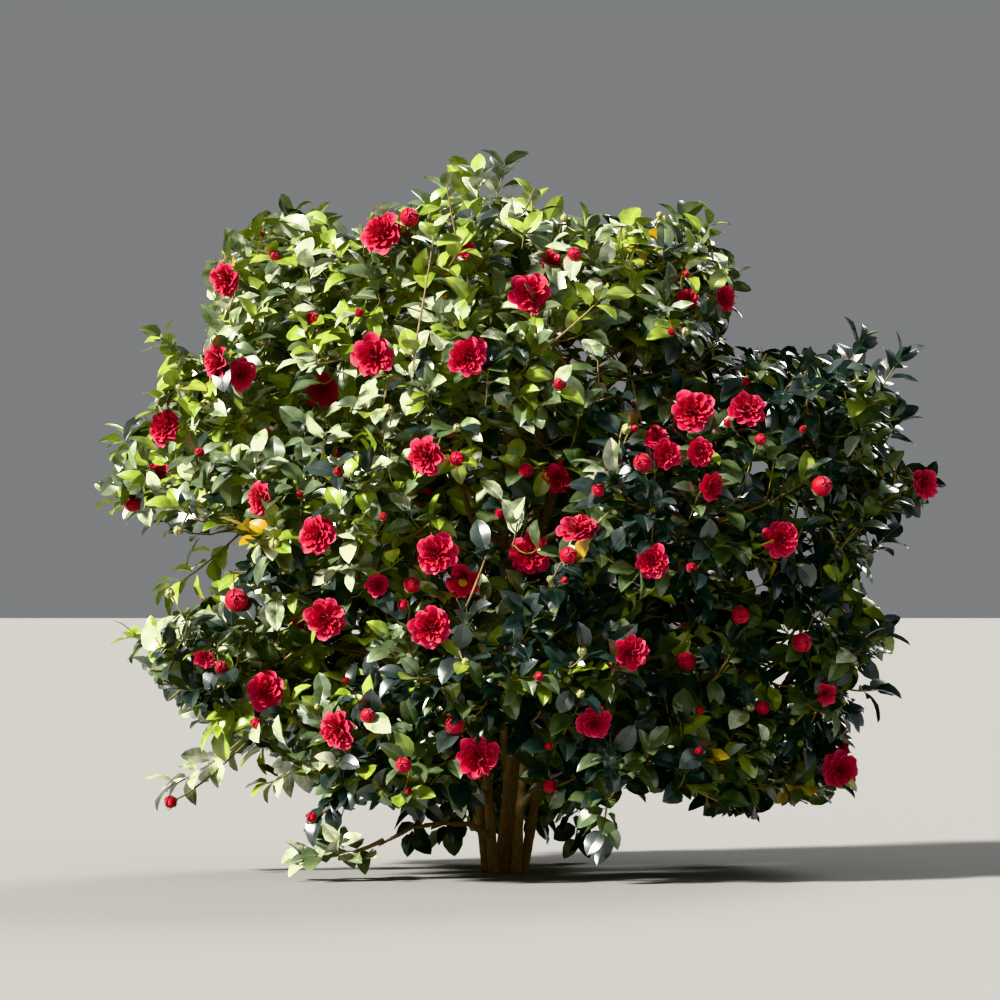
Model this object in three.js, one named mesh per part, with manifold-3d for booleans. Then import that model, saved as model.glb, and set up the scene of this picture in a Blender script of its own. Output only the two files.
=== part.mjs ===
// A camellia shrub in flower, rooted in the ground.
//
// A clump of stems fans out from one root. Boughs leave the stems in tiers, and on the end of every
// stem and bough sits a spray: a leader, the twigs that branch from it, broad leaves, and double
// flowers. Lengths are in millimetres. The ground is at z = 0, the side that is seen faces -Y, and
// left is -X.

import * as THREE from "three";
import { mergeVertices } from "three/addons/utils/BufferGeometryUtils.js";
import Module from "manifold-3d";

const wasm = await Module();
wasm.setup();

const DEGREES = Math.PI / 180;
const GOLDEN_TURN = 137.5 * DEGREES;
const UP = new THREE.Vector3(0, 0, 1);

// The clearance kept between two pieces of wood that meet.
const SEAT_GAP = 0.3;

// Vertices nearer than this are one: while solids are made, and once they are finished.
const FINE_WELD = 1e-4;
const COARSE_WELD = 2e-3;

// Where the shoot tips of one tier of the crown lie. Height, reach and floor are given for the four
// sides and blend between them. Rise is how steeply the tier's leaders climb, turn is where the
// first of its sprays stands, from +X towards +Y, and room is half of a spray's space across its
// leader, sideways and upwards.
const TIERS = [
  {
    name: "skirt",
    count: 5,
    turn: 18,
    rise: -8,
    length: 560,
    room: [500, 230],
    height: { left: 235, right: 250, front: 340, back: 270 },
    reach: { left: 1000, right: 985, front: 900, back: 760 },
    floor: { left: 175, right: 55, front: 185, back: 90 },
  },
  {
    name: "low",
    count: 5,
    turn: -18,
    rise: 4,
    length: 620,
    room: [560, 270],
    height: { left: 655, right: 640, front: 620, back: 640 },
    reach: { left: 1150, right: 1130, front: 1010, back: 850 },
    floor: { left: 200, right: 100, front: 200, back: 100 },
  },
  {
    name: "middle",
    count: 5,
    turn: 18,
    rise: 14,
    length: 640,
    room: [580, 290],
    height: { left: 1035, right: 1050, front: 1000, back: 1040 },
    reach: { left: 1220, right: 1290, front: 1030, back: 890 },
    floor: { left: 200, right: 200, front: 200, back: 200 },
  },
  {
    name: "shoulder",
    count: 5,
    turn: -18,
    rise: 30,
    length: 620,
    room: [520, 290],
    height: { left: 1480, right: 1450, front: 1440, back: 1450 },
    reach: { left: 1060, right: 1190, front: 910, back: 810 },
    floor: { left: 200, right: 200, front: 200, back: 200 },
  },
  {
    name: "top",
    count: 5,
    turn: 18,
    rise: 56,
    length: 580,
    room: [400, 280],
    height: { left: 1800, right: 1770, front: 1770, back: 1780 },
    reach: { left: 830, right: 600, front: 640, back: 570 },
    floor: { left: 200, right: 200, front: 200, back: 200 },
  },
];

// The one spray on top of the trunk, and the low shoot whose leaves almost lie on the ground.
const PEAK = {
  tip: new THREE.Vector3(-8, -60, 1948),
  azimuth: 200,
  rise: 84,
  length: 520,
  room: [330, 330],
  floor: 200,
};
const GROUND_SHOOT = {
  tip: new THREE.Vector3(-560, -600, 30),
  azimuth: 226,
  rise: -10,
  length: 330,
  room: [130, 60],
  floor: 4,
};
const SPACE_MARGIN = 1.5;

// Leaves turn their upper sides up and away from this point inside the crown.
const CROWN_HEART = new THREE.Vector3(0, 0, 700);

// The three kinds of limb. Flare is what the foot adds to the radius, and it fades over flareHeight.
// Lobes are the roots that swell the trunk's foot, one towards each side stem. Wander is how far the
// centreline strays, and crowding above 1 puts more of the limb's rings near its foot.
const TRUNK = {
  radius: 23, tipRadius: 8, flare: 26, flareHeight: 48, lobes: 5, lobeDepth: 0.18, lobeTurn: 18,
  wander: 24, steps: 9, sides: 10, crowding: 1.5,
};
const SIDE_STEM = {
  radius: 13.5, tipRadius: 7, flare: 11, flareHeight: 40, wander: 24, steps: 8, sides: 7, crowding: 1.5,
};
const BOUGH = {
  radius: 9, tipRadius: 6, flare: 4, flareHeight: 14, wander: 14, steps: 4, sides: 5, crowding: 1.15,
};
const LINE_SAMPLES = 33;

// Stems are drawn from below the ground and cut off level with it. The side stems stand in a ring.
const BURIED = 40;
const FOOT_DISTANCE = 50;
const STEM_LEAN = 0.3;

// How steeply a bough sets out, how far its root may lie from its tier's height as a share of it, and
// how a bough that would run into another limb moves up its stem.
const BOUGH_LIFT = 0.75;
const BOUGH_ROOT_SPREAD = 0.12;
const BOUGH_TRIES = 12;
const BOUGH_SHIFT = 12;

// Where each tier's boughs leave their stem, as a height above the ground, and how many stems round
// the clump that stem stands from the bough's own side.
const BOUGH_ROOTS = {
  skirt: { height: 190, stemsAway: 0 },
  low: { height: 400, stemsAway: 1 },
  middle: { height: 620, stemsAway: 0 },
  shoulder: { height: 860, stemsAway: 1 },
};
const GROUND_SHOOT_ROOT = { height: 110, stem: 3 };

// Leaders and twigs have three sides. Twigs leave their leader between the shares first and last of
// its length, at an angle of spread that narrows towards the tip.
const LEADER = { radius: 6.2, tipRadius: 3.4, steps: 3, bow: 0.22 };
const TWIG = {
  radius: 3.2, tipRadius: 2.6, perSpray: 10, shortest: 30,
  spread: 66, narrowing: 0.36, first: 0.1, last: 0.76,
};

// Leaves are larger than life, so that few of them fill the crown. Rise, droop, roll and hang are
// shares of the length: how far the blade's middle and tip leave its plane, how far it rolls to one
// side, and how far it hangs. Angle is how far a side leaf swings out from its twig.
const LEAF = {
  length: 226, width: 138, thickness: 5, rise: 0.05, droop: 0.1, roll: 0.5, hang: 0.16, angle: 56,
};
const LEAF_TRIES = [1, 0.85, 0.7];
const GROUND_SHOOT_LEAF = 0.42;
const LEAF_SPACING = 135;
const LEADER_LEAVES = 3;

// What a leaf or twig keeps to the limbs, and how much of another piece its root may lie in.
const WOOD_MARGIN = 9;
const ROOT_VOLUME = 60;

// A double flower. Where it has no room it moves aside by the shifts, and further in by the insets.
const FLOWER = { radius: 56, depth: 46, petals: 5, notch: 0.86, tilt: 0.25 };
const FLOWER_SHIFTS = [0, 30, 60, 90];
const FLOWER_INSETS = [50, 80, 110, 150, 200];

// Flowers on the seen side: distance across from the trunk, and height.
const SEEN_FLOWERS = [
  [-765, 1605], [-335, 1735], [65, 1570], [-355, 1395], [-100, 1390], [-495, 1300],
  [-785, 1380], [-925, 1205], [-665, 1005], [-220, 1125], [-510, 910], [-185, 860],
  [-115, 790], [67, 860], [200, 935], [-200, 660], [-485, 685], [-650, 490], [-460, 385],
  [-70, 310], [240, 405], [340, 595], [400, 840], [750, 895], [850, 1040], [505, 1245],
  [655, 1250], [590, 1550], [545, 1140], [795, 620], [905, 285],
];
const UNSEEN_FLOWERS_PER_SPRAY = 2;

const BARK = new THREE.MeshStandardMaterial({ color: 0x7d6a58, roughness: 0.85, metalness: 0 });
const FOLIAGE = new THREE.MeshStandardMaterial({ color: 0x2f5a2a, roughness: 0.4, metalness: 0 });

// A number from 0 to 1 that is always the same for the same keys.
function chance(...keys) {
  const steps = [12.9898, 78.233, 37.719, 93.989];
  const sum = keys.reduce((total, key, i) => total + (key + 1) * steps[i], 0);
  const value = Math.sin(sum) * 43758.5453;
  return value - Math.floor(value);
}

function directionOf(azimuth, rise) {
  const level = Math.cos(rise * DEGREES);
  return new THREE.Vector3(
    Math.cos(azimuth * DEGREES) * level,
    Math.sin(azimuth * DEGREES) * level,
    Math.sin(rise * DEGREES),
  );
}

// A size given for four sides, blended to one azimuth as on an ellipse.
function reachAt(reach, azimuth) {
  const across = Math.cos(azimuth * DEGREES);
  const along = Math.sin(azimuth * DEGREES);
  const sideways = across > 0 ? reach.right : reach.left;
  const depth = along > 0 ? reach.back : reach.front;
  return 1 / Math.hypot(across / sideways, along / depth);
}

function heightAt(height, azimuth) {
  const across = Math.cos(azimuth * DEGREES) ** 2;
  const sideways = Math.cos(azimuth * DEGREES) > 0 ? height.right : height.left;
  const depth = Math.sin(azimuth * DEGREES) > 0 ? height.back : height.front;
  return sideways * across + depth * (1 - across);
}

function sideName(azimuth) {
  const names = ["right", "back_right", "back", "back_left", "left", "front_left", "front", "front_right"];
  const sector = 360 / names.length;
  return names[Math.round((((azimuth % 360) + 360) % 360) / sector) % names.length];
}

// A spray's place: its tip, the way it heads, and the point where its wood begins.
function sprayAt(name, place, leafSize) {
  const heading = directionOf(place.azimuth, place.rise);
  const across = new THREE.Vector3().crossVectors(heading, UP).normalize();
  const over = new THREE.Vector3().crossVectors(across, heading).normalize();
  const entry = place.tip.clone().addScaledVector(heading, -place.length);
  const launch = heading.clone().addScaledVector(over, -LEADER.bow).normalize();
  return {
    ...place,
    name,
    leafSize,
    heading,
    across,
    over,
    entry,
    launch,
    centre: entry.clone().lerp(place.tip, 0.5),
    halves: [place.length / 2, ...place.room],
    walls: [],
  };
}

function layOutSprays() {
  const sprays = TIERS.flatMap((tier) =>
    Array.from({ length: tier.count }, (_, i) => {
      const azimuth = tier.turn + (360 / tier.count) * i;
      const tip = directionOf(azimuth, 0).multiplyScalar(reachAt(tier.reach, azimuth));
      tip.z = heightAt(tier.height, azimuth);
      const place = { ...tier, tier: tier.name, tip, azimuth, floor: heightAt(tier.floor, azimuth) };
      return sprayAt(`${tier.name}_${sideName(azimuth)}`, place, LEAF.length);
    }),
  );
  sprays.push(
    sprayAt("peak", { ...PEAK, tier: "peak" }, LEAF.length),
    sprayAt("ground_shoot", { ...GROUND_SHOOT, tier: "ground_shoot" }, LEAF.length * GROUND_SHOOT_LEAF),
  );
  // Each spray keeps to its own side of the plane halfway to every other one, and above its floor.
  for (const spray of sprays) {
    for (const other of sprays.filter((candidate) => candidate !== spray)) {
      const outward = other.centre.clone().sub(spray.centre);
      const point = spray.centre.clone().addScaledVector(outward, 0.5);
      spray.walls.push({ point, outward: outward.normalize() });
    }
    spray.walls.push({ point: new THREE.Vector3(0, 0, spray.floor), outward: new THREE.Vector3(0, 0, -1) });
  }
  return sprays;
}

// The point as shares of a spray's half sizes, so that its room is the unit ball.
function inRoom(spray, point) {
  const offset = point.clone().sub(spray.centre);
  return new THREE.Vector3(
    offset.dot(spray.heading) / spray.halves[0],
    offset.dot(spray.across) / spray.halves[1],
    offset.dot(spray.over) / spray.halves[2],
  );
}

function isInside(spray, point, margin) {
  if (inRoom(spray, point).lengthSq() > 1) return false;
  return spray.walls.every(
    (wall) => point.clone().sub(wall.point).dot(wall.outward) < -margin,
  );
}

// How far a twig can run from a point in one direction before it leaves its spray's room.
function freeRun(spray, point, direction) {
  const from = inRoom(spray, point);
  const step = inRoom(spray, point.clone().add(direction)).sub(from);
  const a = step.lengthSq();
  const b = from.dot(step);
  const c = from.lengthSq() - 1;
  let run = (-b + Math.sqrt(Math.max(0, b * b - a * c))) / a;
  for (const wall of spray.walls) {
    const speed = direction.dot(wall.outward);
    const room = -point.clone().sub(wall.point).dot(wall.outward);
    if (speed > 1e-6) run = Math.min(run, room / speed);
  }
  return run;
}

// A limb's centreline: it leaves and arrives in given directions, and wanders a little on the way.
class LimbLine extends THREE.Curve {
  constructor(start, leaving, end, arriving, wander, key) {
    super();
    const pull = start.distanceTo(end) / 3;
    this.cubic = new THREE.CubicBezierCurve3(
      start,
      start.clone().addScaledVector(leaving, pull),
      end.clone().addScaledVector(arriving, -pull),
      end,
    );
    const along = end.clone().sub(start).normalize();
    this.sideways = new THREE.Vector3(-along.y, along.x, 0).normalize();
    this.upwards = new THREE.Vector3().crossVectors(along, this.sideways);
    this.wander = wander;
    this.key = key;
  }

  getPoint(t, target = new THREE.Vector3()) {
    this.cubic.getPoint(t, target);
    const swell = this.wander * Math.sin(Math.PI * t) ** 2;
    const phase = 2 * Math.PI * chance(this.key);
    target.addScaledVector(this.sideways, swell * Math.sin(3 * Math.PI * t + phase));
    return target.addScaledVector(this.upwards, swell * Math.sin(4 * Math.PI * t + 2 * phase));
  }
}

function solidOf(geometry, weld = FINE_WELD) {
  const bare = geometry.clone();
  bare.deleteAttribute("normal");
  bare.deleteAttribute("uv");
  const merged = mergeVertices(bare, weld);
  return new wasm.Manifold(
    new wasm.Mesh({
      numProp: 3,
      vertProperties: new Float32Array(merged.attributes.position.array),
      triVerts: new Uint32Array(merged.index.array),
    }),
  );
}

function geometryOf(solid) {
  const mesh = solid.getMesh();
  const geometry = new THREE.BufferGeometry();
  geometry.setAttribute("position", new THREE.BufferAttribute(mesh.vertProperties, 3));
  geometry.setIndex(new THREE.BufferAttribute(mesh.triVerts, 1));
  geometry.computeVertexNormals();
  return geometry;
}

function geometryFrom(points, faces) {
  const geometry = new THREE.BufferGeometry();
  geometry.setAttribute("position", new THREE.Float32BufferAttribute(points.flatMap((p) => p.toArray()), 3));
  geometry.setIndex(faces.flat());
  return geometry;
}

// A closed tube along a curve. radiusAt takes the distance travelled, the share of the whole and the
// angle round the tube.
function tube(line, radiusAt, { steps, sides, crowding }) {
  const shares = Array.from({ length: steps + 1 }, (_, i) => (i / steps) ** crowding);
  const length = line.getLength();
  const points = [];
  const startsAlongX = Math.abs(line.getTangentAt(0).x) > 0.9;
  let normal = new THREE.Vector3(startsAlongX ? 0 : 1, startsAlongX ? 1 : 0, 0);
  for (const share of shares) {
    const middle = line.getPointAt(share);
    const tangent = line.getTangentAt(share);
    normal = normal.clone().addScaledVector(tangent, -normal.dot(tangent)).normalize();
    const binormal = new THREE.Vector3().crossVectors(tangent, normal);
    for (let k = 0; k < sides; k++) {
      const angle = (2 * Math.PI * k) / sides;
      const radius = radiusAt(share * length, share, angle);
      points.push(
        middle
          .clone()
          .addScaledVector(normal, radius * Math.cos(angle))
          .addScaledVector(binormal, radius * Math.sin(angle)),
      );
    }
  }
  const faces = [];
  for (let ring = 0; ring < steps; ring++) {
    for (let k = 0; k < sides; k++) {
      const a = ring * sides + k;
      const b = ring * sides + ((k + 1) % sides);
      faces.push([a, b, b + sides], [a, b + sides, a + sides]);
    }
  }
  const last = steps * sides;
  for (let k = 1; k < sides - 1; k++) {
    faces.push([0, k + 1, k], [last, last + k, last + k + 1]);
  }
  return geometryFrom(points, faces);
}

// A limb of wood, with a second solid that is larger all round by the gap its neighbours keep.
function limb(name, line, wood, spray) {
  const radiusAt = (grow) => (travelled, share, angle) => {
    const fade = Math.exp(-travelled / wood.flareHeight);
    const lobe = wood.lobes ? wood.lobeDepth * Math.cos(wood.lobes * (angle - wood.lobeTurn * DEGREES)) : 0;
    const radius = THREE.MathUtils.lerp(wood.radius, wood.tipRadius, share) + wood.flare * fade;
    return radius * (1 + lobe * fade) + grow;
  };
  const samples = Array.from({ length: LINE_SAMPLES }, (_, i) => {
    const share = i / (LINE_SAMPLES - 1);
    return { point: line.getPointAt(share), radius: radiusAt(0)(share * line.getLength(), share, 0) };
  });
  return {
    name,
    spray,
    samples,
    solid: solidOf(tube(line, radiusAt(0), wood)),
    grown: solidOf(tube(line, radiusAt(SEAT_GAP), wood)),
  };
}

// A stem from its foot up to a spray, cut off level with the ground.
function growStem(name, foot, leaving, spray, wood, key) {
  const start = foot.clone().addScaledVector(leaving, -BURIED / leaving.z);
  const line = new LimbLine(start, leaving, spray.entry, spray.launch, wood.wander, key);
  const stem = limb(name, line, wood, spray);
  stem.solid = stem.solid.trimByPlane(UP.toArray(), 0);
  return stem;
}

function growStems(sprays) {
  const peak = sprays.find((spray) => spray.tier === "peak");
  const tops = sprays.filter((spray) => spray.tier === "top");
  const trunk = growStem("trunk", new THREE.Vector3(), UP, peak, TRUNK, 0);
  const stems = tops.map((spray, i) => {
    const foot = directionOf(spray.azimuth, 0).multiplyScalar(FOOT_DISTANCE);
    const lean = STEM_LEAN * (0.5 + chance(i, 3));
    const leaving = directionOf(spray.azimuth, 0).multiplyScalar(lean).add(UP).normalize();
    const name = `stem_${sideName(spray.azimuth)}`;
    const stem = growStem(name, foot, leaving, spray, SIDE_STEM, i + 1);
    stem.solid = wholeBody(stem.solid.subtract(trunk.grown));
    return stem;
  });
  return [trunk, ...stems];
}

// The sampled point of a limb's centreline that lies nearest to a given height.
function pointAtHeight(wood, height) {
  const offBy = (point) => Math.abs(point.z - height);
  const points = wood.samples.map((sample) => sample.point);
  return points.reduce((best, point) => (offBy(point) < offBy(best) ? point : best));
}

// True if a line with the given wood on it would run into one of the limbs.
function runsIntoWood(line, wood, limbs) {
  const points = line.getSpacedPoints(LINE_SAMPLES);
  return points.some((point) => !isClearOfWood(point, wood.radius + wood.flare, limbs));
}

function growBoughs(sprays, stems) {
  const sideStems = stems.slice(1);
  const boughs = [];
  sprays
    .filter((spray) => spray.tier in BOUGH_ROOTS || spray.tier === "ground_shoot")
    .forEach((spray, i) => {
      const ordinal = sprays.filter((other) => other.tier === spray.tier).indexOf(spray);
      const root = BOUGH_ROOTS[spray.tier] ?? GROUND_SHOOT_ROOT;
      const number = root.stem ?? (ordinal + sideStems.length - root.stemsAway) % sideStems.length;
      const stem = sideStems[number];
      const others = [...stems, ...boughs].filter((wood) => wood !== stem);
      const firstHeight = root.height * (1 + BOUGH_ROOT_SPREAD * (chance(i, 7) - 0.5));
      // A bough that would run into another limb leaves its stem a little higher and bends anew.
      let line = null;
      for (let tries = 0; tries < BOUGH_TRIES; tries++) {
        const start = pointAtHeight(stem, firstHeight + tries * BOUGH_SHIFT);
        const outward = spray.entry.clone().sub(start).setZ(0).normalize();
        const leaving = outward.addScaledVector(UP, BOUGH_LIFT).normalize();
        const key = i + stems.length + tries * sprays.length;
        line = new LimbLine(start, leaving, spray.entry, spray.launch, BOUGH.wander, key);
        if (!runsIntoWood(line, BOUGH, others)) break;
      }
      const bough = limb(`bough_${spray.name}`, line, BOUGH, spray);
      bough.solid = wholeBody(bough.solid.subtract(stem.grown));
      boughs.push(bough);
    });
  return boughs;
}

function largestPiece(solid) {
  return solid.decompose().reduce((best, piece) => (piece.volume() > best.volume() ? piece : best));
}

// One whole body: what is left once vertices that all but touch are one and loose slivers are gone.
function wholeBody(solid) {
  return largestPiece(solidOf(geometryOf(solid), COARSE_WELD));
}

// True if a ball round the point touches no limb.
function isClearOfWood(point, radius, limbs) {
  return limbs.every((wood) =>
    wood.samples.every((sample, i) => {
      const next = wood.samples[Math.min(i + 1, wood.samples.length - 1)].point;
      const stretch = new THREE.Line3(sample.point, next);
      const nearest = stretch.closestPointToPoint(point, true, new THREE.Vector3());
      return nearest.distanceTo(point) > sample.radius + radius;
    }),
  );
}

// Gathers the points and faces of one closed surface.
class Skin {
  constructor() {
    this.points = [];
    this.faces = [];
  }

  add(...points) {
    const first = this.points.length;
    this.points.push(...points);
    return points.map((_, i) => first + i);
  }

  // Joins two rings that run the same way round. Either may be a single point.
  band(lower, upper) {
    const [n, m] = [lower.length, upper.length];
    let [i, j] = [0, 0];
    while (i < n || j < m) {
      if (i < n && (j >= m || (i + 1) / n <= (j + 1) / m)) {
        if (n > 1) this.faces.push([lower[i % n], lower[(i + 1) % n], upper[j % m]]);
        i += 1;
      } else {
        if (m > 1) this.faces.push([lower[i % n], upper[(j + 1) % m], upper[j % m]]);
        j += 1;
      }
    }
  }

  closeStart(ring) {
    for (let k = 1; k < ring.length - 1; k++) this.faces.push([ring[0], ring[k + 1], ring[k]]);
  }

  // The finished solid, turned right side out if its faces point inwards.
  solid() {
    const solid = solidOf(geometryFrom(this.points, this.faces));
    if (solid.volume() > 0) return solid;
    return solidOf(geometryFrom(this.points, this.faces.map(([a, b, c]) => [b, a, c])));
  }
}

// The way a leaf's upper side faces: up on a level shoot, and away from the crown's heart on a
// steep one, rolled a little to one side. It comes back square to the shoot.
function faceOf(place, along) {
  const outward = place.clone().sub(CROWN_HEART).setZ(0).normalize();
  const steepness = Math.abs(along.z);
  const face = UP.clone().multiplyScalar(1.1 - steepness).addScaledVector(outward, 1.2 + steepness);
  const side = new THREE.Vector3().crossVectors(face, along).normalize();
  face.addScaledVector(side, 2 * LEAF.roll * (chance(place.x, place.y, place.z) - 0.5));
  return face.addScaledVector(along, -face.dot(along)).normalize();
}

// A ring of three points round a twig: left and right of its upper side, and one below.
function twigRing(skin, middle, along, face, radius) {
  const side = new THREE.Vector3().crossVectors(face, along).normalize();
  const over = new THREE.Vector3().crossVectors(along, side);
  return skin.add(
    ...[150, 30, -90].map((degrees) =>
      middle
        .clone()
        .addScaledVector(side, -radius * Math.cos(degrees * DEGREES))
        .addScaledVector(over, radius * Math.sin(degrees * DEGREES)),
    ),
  );
}

// Grows a leaf from a ring of three points, or from one: an ovate blade that hangs a little from the
// line it sets out on, with the ridge of its midrib below.
function addLeaf(skin, ring, root, setOut, length) {
  const along = setOut.clone().addScaledVector(UP, -LEAF.hang).normalize();
  const face = faceOf(root, along);
  const side = new THREE.Vector3().crossVectors(face, along).normalize();
  const normal = new THREE.Vector3().crossVectors(along, side);
  const halfWidth = LEAF.width / LEAF.length / 2;
  const corner = (u, v, w) =>
    root
      .clone()
      .addScaledVector(along, u * length)
      .addScaledVector(side, -v * length)
      .addScaledVector(normal, w * length);
  const [leftBase, rightBase, ridge] = skin.add(
    corner(0.3, -halfWidth, LEAF.rise),
    corner(0.3, halfWidth, LEAF.rise),
    corner(0.42, 0, LEAF.rise - LEAF.thickness / LEAF.length),
  );
  const [leftEnd, rightEnd, tip] = skin.add(
    corner(0.66, -halfWidth * 0.84, LEAF.rise * 0.7),
    corner(0.66, halfWidth * 0.84, LEAF.rise * 0.7),
    corner(1, 0, -LEAF.droop),
  );
  skin.band(ring, [leftBase, rightBase, ridge]);
  skin.faces.push(
    [leftBase, rightBase, leftEnd],
    [rightBase, rightEnd, leftEnd],
    [leftEnd, rightEnd, tip],
    [rightBase, ridge, rightEnd],
    [rightEnd, ridge, tip],
    [ridge, leftEnd, tip],
    [ridge, leftBase, leftEnd],
  );
}

// Grows a double flower from a ring of three points: a back, a frill of petals and a domed middle.
function addFlower(skin, ring, back, facing, radius) {
  const aside = new THREE.Vector3().crossVectors(facing, UP).normalize();
  const above = new THREE.Vector3().crossVectors(aside, facing);
  const circle = (count, rise, radiusAt) =>
    skin.add(
      ...Array.from({ length: count }, (_, i) => {
        const angle = Math.PI * (5 / 6 - (2 * i) / count);
        return back
          .clone()
          .addScaledVector(facing, rise * FLOWER.depth)
          .addScaledVector(aside, radiusAt(i) * Math.cos(angle))
          .addScaledVector(above, radiusAt(i) * Math.sin(angle));
      }),
    );
  const frill = circle(FLOWER.petals * 2, 0.4, (i) => radius * (i % 2 ? FLOWER.notch : 1));
  const crown = circle(FLOWER.petals, 1, () => radius * 0.56);
  const heart = skin.add(back.clone().addScaledVector(facing, 0.86 * FLOWER.depth));
  skin.band(ring, frill);
  skin.band(frill, crown);
  skin.band(crown, heart);
}

// A twig from start to end that ends in a leaf, or in a flower that faces a given way.
function shootSolid(start, end, wood, ending) {
  const skin = new Skin();
  const along = end.clone().sub(start).normalize();
  const face = faceOf(end, along);
  const foot = twigRing(skin, start, along, face, wood.radius);
  const top = twigRing(skin, end, along, face, wood.tipRadius);
  skin.closeStart(foot);
  skin.band(foot, top);
  if (ending.facing) addFlower(skin, top, end, ending.facing, FLOWER.radius);
  else addLeaf(skin, top, end, along, ending.leafLength);
  return skin.solid();
}

// The leader: a bowed twig with a leaf at its tip.
function leaderSolid(spray, line) {
  const skin = new Skin();
  const face = faceOf(line.getPoint(1), line.getTangent(1));
  const rings = Array.from({ length: LEADER.steps + 1 }, (_, i) => {
    const share = i / LEADER.steps;
    const radius = THREE.MathUtils.lerp(LEADER.radius, LEADER.tipRadius, share);
    return twigRing(skin, line.getPointAt(share), line.getTangentAt(share), face, radius);
  });
  skin.closeStart(rings[0]);
  for (let i = 0; i < LEADER.steps; i++) skin.band(rings[i], rings[i + 1]);
  addLeaf(skin, rings[LEADER.steps], line.getPoint(1), spray.heading, spray.leafSize);
  return skin.solid();
}

function sideLeafSolid(root, along, length) {
  const skin = new Skin();
  addLeaf(skin, skin.add(root), root, along, length);
  return skin.solid();
}

// True if no corner or face middle of the solid leaves the spray's room or comes close to a limb.
function keepsToRoom(spray, limbs, solid) {
  const mesh = solid.getMesh();
  const points = Array.from({ length: mesh.numVert }, (_, i) =>
    new THREE.Vector3().fromArray(mesh.vertProperties, i * mesh.numProp),
  );
  const middles = Array.from({ length: mesh.numTri }, (_, i) => {
    const [a, b, c] = mesh.triVerts.subarray(i * 3, i * 3 + 3);
    return points[a].clone().add(points[b]).add(points[c]).divideScalar(3);
  });
  return (
    points.every((point) => isInside(spray, point, SPACE_MARGIN)) &&
    [...points, ...middles].every((point) => isClearOfWood(point, WOOD_MARGIN, limbs))
  );
}

// Tries smaller and smaller shoots or leaves, and returns the first that has room and crosses
// nothing that already grows there by more than its own root.
function firstThatFits(spray, limbs, grown, solids) {
  for (const make of solids) {
    const solid = make();
    if (!keepsToRoom(spray, limbs, solid)) continue;
    if (grown.every((other) => solid.intersect(other).volume() < ROOT_VOLUME)) return solid;
  }
  return null;
}

// Grows leaves on both sides of one twig, in turn, along its outer part.
function growSideLeaves(spray, limbs, grown, start, end, count, key) {
  const along = end.clone().sub(start).normalize();
  const across = new THREE.Vector3().crossVectors(faceOf(end, along), along).normalize();
  for (let i = 0; i < count; i++) {
    const hand = (i + key) % 2 ? 1 : -1;
    const root = start.clone().lerp(end, 0.3 + (0.62 * (i + 0.5)) / count);
    const solids = [hand, -hand].flatMap((turn) =>
      LEAF_TRIES.map((size) => () => {
        const angle = turn * LEAF.angle * DEGREES * (0.85 + 0.3 * chance(key, i));
        const swing = along.clone().multiplyScalar(Math.cos(angle)).addScaledVector(across, Math.sin(angle));
        return sideLeafSolid(root, swing, spray.leafSize * size);
      }),
    );
    const leaf = firstThatFits(spray, limbs, grown, solids);
    if (leaf) grown.push(leaf);
  }
}

// Shares the flowers seen from the front out to the sprays they grow on.
function shareOutSeenFlowers(sprays) {
  const shares = new Map(sprays.map((spray) => [spray, []]));
  for (const [x, z] of SEEN_FLOWERS) {
    for (let y = -1200; y < 0; y += 10) {
      const point = new THREE.Vector3(x, y, z);
      const spray = sprays.find((candidate) => isInside(candidate, point, SPACE_MARGIN));
      if (spray) {
        shares.get(spray).push(point);
        break;
      }
    }
  }
  return shares;
}

// The places where a flower seen from the front may sit: as near as can be to its own place on the
// face of the spray, then further in and to the side.
function flowerPlaces(point) {
  return FLOWER_SHIFTS.flatMap((shift) =>
    FLOWER_INSETS.flatMap((inset) =>
      [0, 90, 180, 270].slice(0, shift ? 4 : 1).map((turn) => {
        const aside = shift * Math.cos(turn * DEGREES);
        const above = shift * Math.sin(turn * DEGREES);
        return point.clone().add(new THREE.Vector3(aside, inset, above));
      }),
    ),
  );
}

// The line of a spray's leader, from just past the limb that bears it to the root of its last leaf.
function leaderLine(spray) {
  const start = spray.entry.clone().addScaledVector(spray.launch, SEAT_GAP);
  const end = spray.tip.clone().addScaledVector(spray.heading, -spray.leafSize);
  const bend = start.clone().addScaledVector(spray.launch, start.distanceTo(end) / 2);
  return new THREE.QuadraticBezierCurve3(start, bend, end);
}

// A direction in a spray's room, given as the angle off its leader and the turn round it, with the
// room's own width and height stretching it.
function directionInRoom(spray, spread, turn) {
  return spray.heading
    .clone()
    .multiplyScalar(Math.cos(spread) * spray.halves[0])
    .addScaledVector(spray.across, Math.sin(spread) * Math.cos(turn) * spray.halves[1])
    .addScaledVector(spray.over, Math.sin(spread) * Math.sin(turn) * spray.halves[2])
    .normalize();
}

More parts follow.
